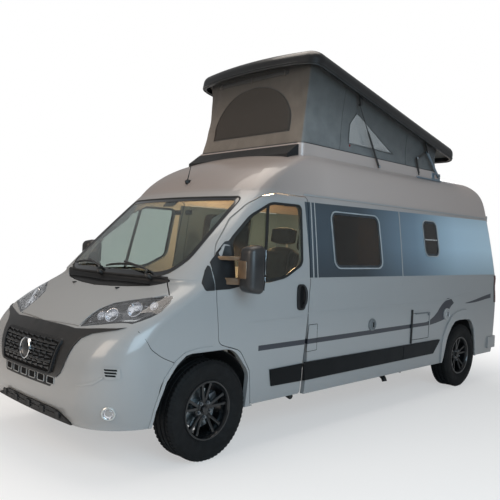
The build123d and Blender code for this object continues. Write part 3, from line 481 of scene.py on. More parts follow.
def shaded_tent(name, first, second):
    """Tent cloth, darker where the roof shell shades it."""
    made = woven(name, first, second, 1500, 0.85)
    x, _, z = made.axes()
    rim = made.sums("MULTIPLY_ADD", x, math.tan(ROOF_SLOPE), ROOF_RIM)
    below = made.sums("DIVIDE", made.sums("SUBTRACT", rim, z), 0.55)
    shade = made.ramp(below, (0.0, (0.22, 0.21, 0.20, 1)), (0.45, (0.60, 0.59, 0.58, 1)), (1.0, (1, 1, 1, 1)))
    before = made.shader.inputs["Base Color"].links[0].from_socket
    mixed = made.add("ShaderNodeMix", data_type="RGBA", blend_type="MULTIPLY")
    mixed.inputs[0].default_value = 1.0
    made.links.new(before, mixed.inputs[6])
    made.links.new(shade, mixed.inputs[7])
    made.colour(mixed.outputs[2])
    return made


def make_tent_fabric():
    made = shaded_tent("tent_fabric", tint(98, 100, 100), tint(116, 118, 117))
    made.bump(made.noise(5, 3, (1, 1, 0.35)), 0.012, 0.25)
    return made


def make_wood():
    made = Finish("wood", tint(186, 158, 122), 0.42, Coat_Weight=0.2, Coat_Roughness=0.2)
    rings = made.add("ShaderNodeTexWave", {
        "Vector": made.add("ShaderNodeMapping", {"Vector": made.place, "Scale": (2.2, 2.2, 14)}).outputs[0],
        "Scale": 1.6, "Distortion": 6.0, "Detail": 4.0, "Detail Scale": 1.5,
    }, wave_type="BANDS", bands_direction="Z").outputs["Fac"]
    pores = made.noise(60, 4, (4, 4, 40))
    grain = made.sums("MULTIPLY_ADD", pores, 0.35, made.sums("MULTIPLY", rings, 0.65))
    made.colour(made.ramp(grain, (0.2, tint(164, 132, 96)), (0.55, tint(190, 162, 126)),
                          (0.85, tint(208, 184, 150))))
    made.bump(pores, 0.0003, 0.4)
    return made


def make_floor_board():
    made = Finish("floor_board", tint(120, 112, 104), 0.55)
    planks = made.add("ShaderNodeTexBrick", {
        "Vector": made.place, "Scale": 4.0, "Color1": tint(120, 110, 100), "Color2": tint(138, 128, 116),
        "Mortar": tint(70, 64, 58), "Mortar Size": 0.008, "Brick Width": 4.0, "Row Height": 0.5,
    }).outputs["Color"]
    made.colour(made.blend(made.noise(30, 4, (1, 8, 1)), planks, tint(104, 96, 88)))
    made.bump(made.noise(80, 3, (1, 8, 1)), 0.0004, 0.4)
    return made


# ---------------------------------------------------------------- finishes of the fine pieces


def make_reflector():
    made = Finish("reflector", tint(214, 216, 220), 0.10, 1.0)
    y = made.axes()[1]
    flutes = made.sums("SINE", made.sums("MULTIPLY", y, 520))
    made.bump(flutes, 0.0012, 0.5)
    made.rough(made.noise(60, 2), 0.06, 0.16)
    return made


def make_amber():
    made = Finish("amber", tint(186, 88, 22), 0.12, Coat_Weight=0.8, Coat_Roughness=0.03)
    z = made.axes()[2]
    rows = made.sums("SINE", made.sums("MULTIPLY", z, 420))
    made.bump(rows, 0.0012, 0.5)
    made.colour(made.ramp(made.sums("MULTIPLY_ADD", rows, 0.5, 0.5), (0.1, tint(160, 70, 12)),
                          (0.9, tint(205, 108, 34))))
    return made


def make_trim_paint():
    sizes = bpy.context.scene.camper_finish
    made = paint_base("trim_paint", tuple(sizes.paint))
    made.colour(made.blend(made.noise(2.2, 5), tuple(c * 0.94 for c in sizes.paint[:3]) + (1,),
                           tuple(c * 1.10 for c in sizes.paint[:3]) + (1,)))
    return made


def make_cladding():
    made = Finish("cladding", tint(11, 14, 17), 0.42, Specular_IOR_Level=0.14)
    made.bump(made.noise(800, 3), 0.0003, 0.4)
    x = made.axes()[0]
    # Painted light: the cladding is lighter and bluer towards the rear and darker towards the front.
    made.colour(made.ramp(made.sums("MULTIPLY_ADD", x, 0.18, 0.42), (0.2, tint(16, 22, 26)),
                          (0.8, tint(6, 8, 10))))
    made.rough(made.noise(5, 4), 0.34, 0.48)
    return made


def make_wood_dark():
    made = Finish("wood_dark", tint(120, 84, 54), 0.4, Coat_Weight=0.2)
    pores = made.noise(40, 5, (3, 3, 30))
    made.colour(made.ramp(pores, (0.25, tint(100, 68, 42)), (0.75, tint(140, 102, 68))))
    made.bump(pores, 0.0003, 0.4)
    return made


def make_tent_front():
    made = shaded_tent("tent_front", tint(104, 94, 84), tint(118, 108, 97))
    made.bump(made.noise(4, 3, (1, 1, 0.35)), 0.012, 0.25)
    return made


def make_mesh_fabric():
    made = Finish("mesh_fabric", tint(59, 53, 48), 0.95)
    x, y, z = made.axes()
    warp = made.sums("SINE", made.sums("MULTIPLY", made.sums("ADD", y, x), 2400))
    weft = made.sums("SINE", made.sums("MULTIPLY", z, 2400))
    holes = made.sums("MULTIPLY", warp, weft)
    made.bump(holes, 0.0006, 0.6)
    made.colour(made.ramp(made.sums("MULTIPLY_ADD", holes, 0.4, 0.5), (0.2, tint(46, 41, 37)),
                          (0.8, tint(72, 66, 60))))
    return made


def make_tent_dark():
    return woven("tent_dark", tint(41, 39, 36), tint(54, 51, 48), 1700, 0.85)


def make_tent_lining():
    return woven("tent_lining", tint(120, 118, 112), tint(138, 136, 130), 900, 0.9)


def make_wood_front():
    made = Finish("wood_front", tint(205, 176, 132), 0.36, Coat_Weight=0.3, Coat_Roughness=0.15)
    pores = made.noise(40, 4, (3, 3, 30))
    made.colour(made.ramp(pores, (0.25, tint(184, 152, 106)), (0.6, tint(208, 179, 134)),
                          (0.85, tint(222, 196, 154))))
    made.bump(pores, 0.0002, 0.4)
    return made


# ---------------------------------------------------------------- makers of shapes
SLOT_OF = {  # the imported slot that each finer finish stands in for
    "dark_glass": "glass", "chrome": "steel", "rubber": "black_plastic", "frit": "gloss_black",
    "reflector": "steel", "bench_fabric": "seat_fabric", "bed_fabric": "seat_fabric",
    "mesh_fabric": "tent_fabric", "alloy": "steel", "tent_window": "glass", "amber": "lamp_red",
    "lens": "lamp_plastic", "window_frame": "body_paint", "clear_trim": "steel",
    "grey_plastic": "black_plastic", "tent_front": "tent_fabric", "warm_light": "lamp_plastic",
    "satin_black": "black_plastic", "grille_dark": "black_plastic", "grille_mesh": "black_plastic",
    "badge_dark": "black_plastic", "lamp_dark": "black_plastic", "cladding": "black_plastic",
    "mirror_silver": "glass", "seal_grey": "black_plastic", "tent_dark": "tent_fabric",
    "tent_lining": "tent_fabric", "roof_edge": "black_plastic", "wood_dark": "wood", "wood_front": "wood",
    "hatch_paint": "body_paint", "trim_paint": "body_paint", "screen": "dash_plastic",
}


def piece(name, bm, body, key, bevel=0.0, angle=32, closed=True):
    """Makes a finished object from a bmesh and lets it ride on a body."""
    bmesh.ops.remove_doubles(bm, verts=bm.verts[:], dist=1e-5)
    if closed:
        bmesh.ops.recalc_face_normals(bm, faces=bm.faces[:])
    mesh = bpy.data.meshes.new(name)
    bm.to_mesh(mesh)
    bm.free()
    for polygon in mesh.polygons:
        polygon.use_smooth = True
    mesh.set_sharp_from_angle(angle=math.radians(angle))
    obj = bpy.data.objects.new(name, mesh)
    bpy.context.scene.collection.objects.link(obj)
    mesh.materials.append(finish(key))
    if bevel:
        edge = obj.modifiers.new("edge", "BEVEL")
        edge.width = bevel
        edge.segments = 2
        edge.limit_method = "ANGLE"
        edge.angle_limit = math.radians(40)
    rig.ride(obj, body)
    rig.slot(obj, SLOT_OF.get(key, key))
    return obj


def patch(bm, points, outward, lift, thick, radius=0.0, cell=0.05, ring=0.0, segments=5):
    """Adds a panel that lies on the body's outside, lifted off it, with rounded corners or as a ring."""
    outward = Vector(outward).normalized()
    made = bmesh.new()
    corners = [made.verts.new(p - outward * p.dot(outward)) for p in points]
    made.faces.new(corners)
    if radius:
        bmesh.ops.bevel(made, geom=corners, offset=radius, segments=segments, profile=0.5, affect="VERTICES",
                        material=-1)
    if ring:
        band = bmesh.ops.inset_region(made, faces=made.faces[:], thickness=ring, use_boundary=True,
                                      use_even_offset=True)["faces"]
        inner = [f for f in made.faces if f not in band]
        bmesh.ops.delete(made, geom=inner, context="FACES")
    across = outward.orthogonal().normalized()
    along = outward.cross(across)
    for way in (across, along):
        spots = [v.co.dot(way) for v in made.verts]
        low, high = min(spots), max(spots)
        count = max(1, int((high - low) / cell))
        for step in range(1, count):
            level = low + (high - low) * step / count
            bmesh.ops.bisect_plane(made, geom=made.verts[:] + made.edges[:] + made.faces[:],
                                   plane_co=way * level,
                                   plane_no=way, dist=1e-5)
    missed = set()
    for v in made.verts:
        spot = on_skin(v.co, outward)
        if spot is None:
            missed.add(v)
        else:
            v.co = spot + outward * lift
    while missed:
        held = {v: [e.other_vert(v) for e in v.link_edges if e.other_vert(v) not in missed] for v in missed}
        held = {v: near for v, near in held.items() if near}
        if not held:
            break
        for v, near in held.items():
            v.co += outward * (sum(n.co.dot(outward) for n in near) / len(near) - v.co.dot(outward))
        missed -= held.keys()
    top = bmesh.ops.extrude_face_region(made, geom=made.faces[:])
    raised = [g for g in top["geom"] if isinstance(g, bmesh.types.BMVert)]
    bmesh.ops.translate(made, verts=raised, vec=outward * thick)
    bmesh.ops.recalc_face_normals(made, faces=made.faces[:])
    join(bm, made)


def join(bm, other):
    """Moves everything of one bmesh into another."""
    holder = bpy.data.meshes.new("join")
    other.to_mesh(holder)
    other.free()
    bm.from_mesh(holder)
    bpy.data.meshes.remove(holder)


def side_points(side, points):
    return [at(s, side * 1100, z) for s, z in points]


def on_side(bm, side, points, lift, thick, radius=0.0, cell=0.05, ring=0.0):
    patch(bm, side_points(side, points), (0, side, 0), lift, thick, radius, cell, ring)


def on_front(bm, points, lift, thick, radius=0.0, cell=0.05, ring=0.0):
    patch(bm, [at(0, y, z) for y, z in points], (1, 0, 0), lift, thick, radius, cell, ring)


def on_rear(bm, points, lift, thick, radius=0.0, cell=0.05, ring=0.0):
    patch(bm, [at(6000, y, z) for y, z in points], (-1, 0, 0), lift, thick, radius, cell, ring)


def block(bm, low, high, bevel=0.0, turn=None, about=None):
    """A box between two corners, with rounded edges, turned about a point if asked."""
    low, high = Vector(low), Vector(high)
    made = bmesh.ops.create_cube(bm, size=1)["verts"]
    bmesh.ops.scale(bm, vec=high - low, verts=made)
    bmesh.ops.translate(bm, vec=(low + high) / 2, verts=made)
    if bevel:
        edges = list({e for v in made for e in v.link_edges})
        made = bmesh.ops.bevel(bm, geom=edges, offset=bevel, segments=3, profile=0.5, affect="EDGES",
                               material=-1)["verts"]
    if turn:
        bmesh.ops.rotate(bm, verts=made, cent=about or (low + high) / 2, matrix=turn)
    return made


def prism(bm, points, push, bevel=0.0):
    """An outline pushed along a vector."""
    face = bm.faces.new([bm.verts.new(p) for p in points])
    result = bmesh.ops.extrude_face_region(bm, geom=[face])
    verts = [g for g in result["geom"] if isinstance(g, bmesh.types.BMVert)]
    bmesh.ops.translate(bm, verts=verts, vec=push)
    everything = verts + list(face.verts) if face.is_valid else verts
    if bevel:
        edges = list({e for v in everything for e in v.link_edges})
        everything = bmesh.ops.bevel(bm, geom=edges, offset=bevel, segments=2, profile=0.5, affect="EDGES",
                                     material=-1)["verts"]
    return everything


def lathe(bm, profile, centre, axis, steps=48):
    """A profile of (radius, distance along the axis) spun round the axis."""
    axis = Vector(axis).normalized()
    out = axis.orthogonal().normalized()
    centre = Vector(centre)
    line = [bm.verts.new(centre + out * r + axis * h) for r, h in profile]
    edges = [bm.edges.new(pair) for pair in zip(line, line[1:])]
    bmesh.ops.spin(bm, geom=line + edges, cent=centre, axis=axis, angle=2 * math.pi, steps=steps,
                   use_merge=True)
    bmesh.ops.remove_doubles(bm, verts=bm.verts[:], dist=1e-6)


def tube(name, points, radius, body, key, smooth=True, sides=4, flat=None):
    """A round rod or wire through points."""
    line = bpy.data.curves.new(name, "CURVE")
    line.dimensions = "3D"
    line.bevel_depth = radius
    line.bevel_resolution = sides
    line.use_fill_caps = True
    line.resolution_u = 8
    spline = line.splines.new("NURBS" if smooth else "POLY")
    spline.points.add(len(points) - 1)
    for spot, point in zip(spline.points, points):
        spot.co = (*point, 1)
    if smooth:
        spline.use_endpoint_u = True
        spline.order_u = 3
    holder = bpy.data.objects.new(name + "_line", line)
    bpy.context.scene.collection.objects.link(holder)
    bpy.context.view_layer.update()
    mesh = bpy.data.meshes.new_from_object(holder.evaluated_get(bpy.context.evaluated_depsgraph_get()))
    bpy.data.objects.remove(holder)
    bpy.data.curves.remove(line)
    bm = bmesh.new()
    bm.from_mesh(mesh)
    bpy.data.meshes.remove(mesh)
    return piece(name, bm, body, key)


def skin_at(point, outward):
    """The point on the body's outside below a point, and the way the outside faces there."""
    outward = Vector(outward).normalized()
    hit = SKIN.ray_cast(point + outward * 3, -outward)
    if hit[0] is None:
        return point, outward
    return hit[0], hit[1] if hit[1].dot(outward) > 0 else -hit[1]


def laid(maker, name, spec, body, key, **look):
    """A piece of one shape: its maker with its settings, then the body it rides on and its finish."""
    bm = bmesh.new()
    maker(bm, *spec)
    return piece(name, bm, body, key, **look)


# ---------------------------------------------------------------- front
LAMP_PLAN = [(165, 480), (262, 462), (328, 478), (409, 545), (487, 680), (564, 812), (648, 925), (590, 955),
             (503, 968), (434, 955), (370, 930), (320, 900), (280, 815), (220, 655)]


class CAMPER_OT_step_a_grille(bpy.types.Operator):
    """Makes the grille with its bars, cap, frame and the openings below it"""

    bl_idname = "camper.step_a_grille"
    bl_label = "Grille and bumper"

    def execute(self, context):
        frame_half = [(0, 984), (170, 983), (330, 981), (455, 975), (560, 984), (700, 1000), (830, 1012),
                      (893, 1022), (850, 1003), (760, 985), (660, 962), (590, 925), (560, 872), (535, 800),
                      (505, 720), (475, 668), (440, 640), (300, 632), (0, 632)]
        whole = frame_half + [(-y, z) for y, z in reversed(frame_half[1:-1])]
        laid(on_front, "grille_frame", (whole, 0.0005, 0.011, 0, 0.04), "body", "satin_black",
             bevel=0.003)

        # The grille's back is a near-black sheet: painted shade of the opening behind the mesh.
        bm = bmesh.new()
        opening = [(422, 892), (372, 664), (-372, 664), (-422, 892)]
        on_front(bm, opening, 0.0118, 0.0035, 0.035, 0.04)
        piece("grille_back", bm, "body", "grille_dark")
        laid(on_front, "grille_bezel", ([(440, 905), (388, 650), (-388, 650), (-440, 905)], 0.009, 0.022,
             0.045, 0.04, 0.014), "body", "black_plastic", bevel=0.003)
        bm = bmesh.new()
        rows = 9
        for row in range(rows):
            z = 690 + row * 24.5
            half = 372 + (z - 664) * 0.22 - 16
            count = 9
            for k in range(count):
                left = -half + k * 2 * half / count
                right = left + 2 * half / count
                wave = 5 if (k + row) % 2 else -5
                on_front(bm, [(right, z + wave + 5), (right, z - wave - 5), (left, z + wave - 5),
                              (left, z - wave + 5)]
                         if k % 2 else [(right, z - wave + 5), (right, z + wave - 5), (left, z - wave - 5),
                                        (left, z + wave + 5)], 0.014, 0.012, 0, 0.05)
        piece("grille_mesh", bm, "body", "grille_mesh")
        bm = bmesh.new()
        for z in (732, 808, 858):
            half = 372 + (z - 664) * 0.22 - 14
            on_front(bm, [(half, z + 5), (half, z - 5), (-half, z - 5), (-half, z + 5)], 0.016, 0.016, 0,
                     0.04)
        piece("grille_bars", bm, "body", "satin_black", bevel=0.002)

        spot = skin_at(at(0, 0, 782), (1, 0, 0))[0]
        aim = Vector((1, 0, 0.10))
        laid(lathe, "grille_cap", ([(0, 0.036), (0.052, 0.034), (0.066, 0.030), (0.070, 0.020),
             (0.070, 0.005)], spot, aim), "body", "badge_dark", closed=False)
        laid(lathe, "grille_cap_ring", ([(0.069, 0.010), (0.069, 0.034), (0.074, 0.040), (0.080, 0.036),
             (0.082, 0.010)], spot, aim), "body", "chrome", closed=False)

        # Each bumper slot is a near-black patch, painted shade of the opening, in a paint-coloured rim.
        bm = bmesh.new()
        rims = bmesh.new()
        for k in range(6):
            middle = -302 + k * 133
            hole = [(middle + 44, 630), (middle + 44, 582), (middle - 44, 582), (middle - 44, 630)]
            on_front(bm, hole, 0.0004, 0.0014, 0.007, 0.03)
            on_front(rims, [(middle + 48, 634), (middle + 48, 578), (middle - 48, 578), (middle - 48, 634)],
                     0.0003, 0.005, 0.010, 0.03, ring=0.005)
        piece("bumper_slots", bm, "body", "grille_dark")
        piece("bumper_slot_rims", rims, "body", "trim_paint", bevel=0.0015)

        bm = bmesh.new()
        lip_half = [(0, 404), (330, 404), (410, 398), (452, 380), (560, 345), (600, 331), (0, 331)]
        on_front(bm, lip_half[:-1] + [(-y, z) for y, z in reversed(lip_half[1:-1])], 0.0004, 0.016, 0.004,
                 0.045)
        piece("bumper_lip", bm, "body", "black_plastic", bevel=0.005)
        bm = bmesh.new()
        on_front(bm, [(400, 372), (400, 362), (-400, 362), (-400, 372)], 0.014, 0.010, 0, 0.05)
        for y in (-430, -215, 0, 215, 430):
            on_front(bm, [(y + 32, 394), (y + 26, 344), (y - 26, 344), (y - 32, 394)], 0.014, 0.013, 0.008,
                     0.03)
        piece("bumper_lip_ribs", bm, "body", "black_plastic", bevel=0.003)

        for side, tag in SIDES:
            facing = (0.62, side * 0.78, 0.05)
            spot, normal = skin_at(at(190, side * 868, 726), facing)
            normal = (normal + Vector(facing).normalized()).normalized()
            across = Vector((0, 0, 1)).cross(normal).normalized() * side
            quad = [(-62, 34), (58, 40), (44, -30), (26, -44), (-70, -34)]
            laid(patch, f"side_vent_{tag}",
                 ([spot - across * a / 1000 + Vector((0, 0, b / 1000)) for a, b in quad], normal, 0.0004,
                 0.007, 0.012, 0.03), "body", "trim_paint", bevel=0.003)
            # The vent's slits are near-black patches: painted shade of the openings.
            bm = bmesh.new()
            for b, wide in ((20, 46), (1, 43), (-18, 38)):
                slit = [(-wide, b - 6), (-wide + 4, b + 6), (wide, b + 8), (wide - 6, b - 4)]
                patch(bm, [spot - across * a / 1000 + Vector((0, 0, c / 1000)) for a, c in slit], normal,
                      0.0072, 0.0012, 0.003, 0.03)
            piece(f"side_vent_slits_{tag}", bm, "body", "grille_dark")
            bm = bmesh.new()
            sweep_low = [(64, 640, 612), (108, 780, 640), (150, 845, 690), (143, 843, 700), (96, 770, 655),
                         (58, 640, 622)]
            patch(bm, [at(s, side * y, z) for s, y, z in sweep_low], facing, 0.0003, 0.004, 0, 0.03)
            piece(f"side_vent_crease_{tag}", bm, "body", "trim_paint", bevel=0.002)

            spot, normal = skin_at(at(190, side * 856, 452), facing)
            normal = (normal * 0.6 + Vector(facing).normalized() * 0.4).normalized()
            spot = spot - normal * 0.004
            laid(lathe, f"fog_bezel_{tag}", ([(0.033, 0.003), (0.036, 0.015), (0.043, 0.017),
                 (0.049, 0.011), (0.051, -0.004)], spot, normal, 40), "body", "clear_trim", closed=False)
            laid(lathe, f"fog_bowl_{tag}", ([(0, -0.012), (0.012, -0.010), (0.024, -0.003),
                 (0.032, 0.008), (0.034, 0.009)], spot + normal * 0.006, normal, 40), "body", "reflector",
                 closed=False)
            laid(lathe, f"fog_lens_{tag}", ([(0, 0.016), (0.018, 0.0155), (0.030, 0.012), (0.034, 0.008)],
                 spot + normal * 0.004, normal, 40), "body", "lens", closed=False)
        return {"FINISHED"}


class CAMPER_OT_step_b_lamps(bpy.types.Operator):
    """Makes the head lamps and tail lamps with their bowls and lenses"""

    bl_idname = "camper.step_b_lamps"
    bl_label = "Lamps"

    def execute(self, context):
        bowls_at = ((330, 640, 0.050), (430, 780, 0.055), (300, 555, 0.032), (520, 880, 0.030))
        lenses = []
        for side, tag in SIDES:
            facing = Vector((0.45, side * 0.35, 0.82)).normalized()
            outline = [at(s, side * y, 1000) for s, y in LAMP_PLAN]
            outline = [Vector((p.x, p.y,
                               (on_skin(p, Vector((0, 0, 1))) or Vector((0, 0, 1.1))).z)) for p in outline]
            bm = bmesh.new()
            patch(bm, outline, facing, -0.0045, 0.003, 0.006, 0.03)
            lens = piece(f"headlamp_lens_{tag}", bm, "body", "lens")
            lenses.append(lens)
            laid(patch, f"headlamp_housing_{tag}", (outline, facing, -0.050, 0.004, 0.006, 0.03), "body",
                 "lamp_dark")
            laid(patch, f"headlamp_surround_{tag}", (outline, facing, -0.030, 0.0275, 0.006, 0.03, 0.020),
                 "body", "lamp_dark", bevel=0.002)
            bm = bmesh.new()
            for s, y, r in bowls_at:
                spot = skin_at(at(s, side * y, 1100), (0, 0, 1))[0]
                aim = (Vector((0.80, side * 0.30, 0.52))).normalized()
                heart = spot - facing * 0.044
                lathe(bm, [(0.010, -0.004), (r * 0.55, 0.002), (r * 0.9, 0.018), (r, 0.030),
                           (r * 1.06, 0.030), (r * 1.06, 0.022)], heart, aim, 36)
            piece(f"headlamp_bowls_{tag}", bm, "body", "reflector", closed=False)
            bm = bmesh.new()
            for s, y, r in bowls_at:
                spot = skin_at(at(s, side * y, 1100), (0, 0, 1))[0]
                aim = (Vector((0.80, side * 0.30, 0.52))).normalized()
                heart = spot - facing * 0.040
                made = bmesh.ops.create_uvsphere(bm, u_segments=20, v_segments=12, radius=r * 0.34)["verts"]
                bmesh.ops.translate(bm, vec=heart + aim * 0.008, verts=made)
            piece(f"headlamp_bulbs_{tag}", bm, "body", "chrome", closed=False)
            bm = bmesh.new()
            for k in range(7):
                a = (250 + k * 42, 515 + k * 52)
                spot = skin_at(at(a[0], side * a[1], 1100), (0, 0, 1))[0]
                block(bm, spot - Vector((0.030, 0.012, 0.045)), spot - Vector((-0.030, -0.012, 0.040)), 0.001,
                      Matrix.Rotation(math.radians(-28), 3, "Y"))
            piece(f"headlamp_fins_{tag}", bm, "body", "reflector")
            bm = bmesh.new()
            strip = [(300, 806), (352, 885), (420, 930), (500, 948), (500, 938), (424, 916), (362, 870),
                     (312, 800)]
            patch(bm, [at(s, side * y, 1050) for s, y in strip], (0.3, side * 0.5, 0.8), -0.014, 0.004, 0,
                  0.02)
            piece(f"headlamp_day_strip_{tag}", bm, "body", "clear_trim")
        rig.replaces(lenses[0], "headlamps")

        for side, tag in SIDES:
            bm = bmesh.new()
            rows = ((1225, 1326, "lamp_red"), (1150, 1219, "amber"), (1098, 1144, "lens"),
                    (989, 1092, "lamp_red"))
            for low, high, key in rows:
                part = bmesh.new()
                patch(part, [at(5999, side * y, z) for y,
                             z in ((876, high), (985, high), (985, low), (876, low))],
                      (-0.8, side * 0.6, 0), 0.001, 0.003, 0.010, 0.02)
                piece(f"tail_lamp_{key}_{low}_{tag}", part, "body", key, bevel=0.0015)
            on_side(bm, side, [(5845, 1332), (5845, 983), (5905, 983), (5905, 1332)], 0.0004, 0.004, 0.01,
                    0.03, ring=0.008)
            piece(f"tail_lamp_rim_{tag}", bm, "body", "rubber", bevel=0.001)
        return {"FINISHED"}


# ---------------------------------------------------------------- glass edges, wipers and sides
SCREEN = [(600, 1344), (722, 1380), (794, 1480), (766, 2006), (-766, 2006), (-794, 1480), (-722, 1380),
          (-600, 1344)]
DOOR_WINDOW = [(1160, 1318), (1160, 1640), (1400, 1855), (1650, 1975), (2035, 1975), (1990, 1460),
               (1760, 1350), (1560, 1318)]
SIDE_WINDOW = [(2445, 1429), (2445, 1948), (3227, 1948), (3227, 1429)]
NARROW_WINDOW = [(4107, 1562), (4107, 1957), (4427, 1957), (4427, 1562)]


def grow(points, amount):
    """An outline moved outwards by an amount, corner by corner."""
    count = len(points)
    area = sum(points[i][0] * points[(i + 1) % count][1] - points[(i + 1) % count][0] * points[i][1]
               for i in range(count))
    sign = 1 if area > 0 else -1
    moved = []
    for i, here in enumerate(points):
        before, after = Vector(points[i - 1]), Vector(points[(i + 1) % count])
        here = Vector(here)
        one, two = (here - before).normalized(), (after - here).normalized()
        first = Vector((one.y, -one.x)) * sign
        second = Vector((two.y, -two.x)) * sign
        push = (first + second) / max(0.35, 1 + first.dot(second))
        moved.append(tuple(here + push * amount))
    return moved


class CAMPER_OT_step_c_screen(bpy.types.Operator):
    """Makes the windscreen's black edge, the wipers and the scuttle grid"""

    bl_idname = "camper.step_c_screen"
    bl_label = "Windscreen edge and wipers"

    def execute(self, context):
        laid(on_front, "windscreen_edge", (SCREEN, 0.0008, 0.0016, 0.05, 0.04, 0.034), "body", "frit")
        laid(on_front, "windscreen_rubber", (grow(SCREEN, 9), 0.0012, 0.004, 0.055, 0.04, 0.012), "body",
             "rubber", bevel=0.0015)
        laid(on_front, "windscreen_sensor_field", ([(95, 2000), (80, 1925), (-80, 1925), (-95, 2000)],
             -0.012, 0.004, 0.02, 0.04), "body", "frit")
        bm = bmesh.new()
        for y in (-1, 1):
            block(bm, at(1452, 45 + y * 80, 1862), at(1438, -45 + y * 80, 1905), 0.004)
        piece("rear_view_mirror", bm, "body", "black_plastic")

        for number, (start_y, end_y, root) in enumerate(((545, -60, 560), (-95, -640, -80)), 1):
            low = on_skin(at(0, root, 1338), Vector((1, 0, 0)))
            high = on_skin(at(0, root - 30, 1372), Vector((1, 0, 0)))
            far = on_skin(at(0, end_y + 240, 1420), Vector((1, 0, 0)))
            lift = Vector((0.030, 0, 0.022))
            tube(f"wiper_arm_{number}",
                 [low + Vector((0.022, 0, 0)), low + Vector((0.030, -0.03, 0.020)), high + lift,
                  (high + far) / 2 + lift * 1.2, far + lift], 0.0085, "body", "satin_black")
            laid(lathe, f"wiper_pivot_{number}", ([(0, 0.034), (0.018, 0.032), (0.022, 0.022),
                 (0.022, -0.01)], low, (0.85, 0, 0.5), 24), "body", "satin_black", closed=False)
            bm = bmesh.new()
            steps = 12
            spots = []
            for k in range(steps + 1):
                y = start_y + (end_y - start_y) * k / steps
                z = 1372 + 30 * math.sin(math.pi * k / steps) + (18 * k / steps)
                spot = on_skin(at(0, y, z), Vector((1, 0, 0)))
                if spot is not None:
                    spots.append(spot + Vector((0.016, 0, 0.010)))
            piece_points = spots
            bm.free()
            tube(f"wiper_blade_{number}", piece_points, 0.0075, "body", "rubber")
            tube(f"wiper_spoiler_{number}", [p + Vector((0.007, 0, 0.006)) for p in piece_points[1:-1]],
                 0.005, "body", "satin_black")
        # The scuttle grid's slots are near-black blocks: painted shade of the openings.
        bm = bmesh.new()
        for k in range(30):
            y = -580 + k * 40
            spot, facing = skin_at(at(628 + abs(y) * 0.075, y, 1600), (0, 0, 1))
            if facing.z > 0.2:
                block(bm, spot + Vector((-0.020, -0.011, 0.0)), spot + Vector((0.020, 0.011, 0.004)), 0.0015)
        piece("scuttle_grid", bm, "body", "grille_dark")
        bm = bmesh.new()
        for y in (-330, 330):
            spot = skin_at(at(560, y, 1500), (0, 0, 1))[0]
            block(bm, spot - Vector((0.018, 0.010, 0.002)), spot + Vector((0.018, 0.010, 0.010)), 0.004)
        piece("washer_jets", bm, "bonnet", "black_plastic")
        return {"FINISHED"}


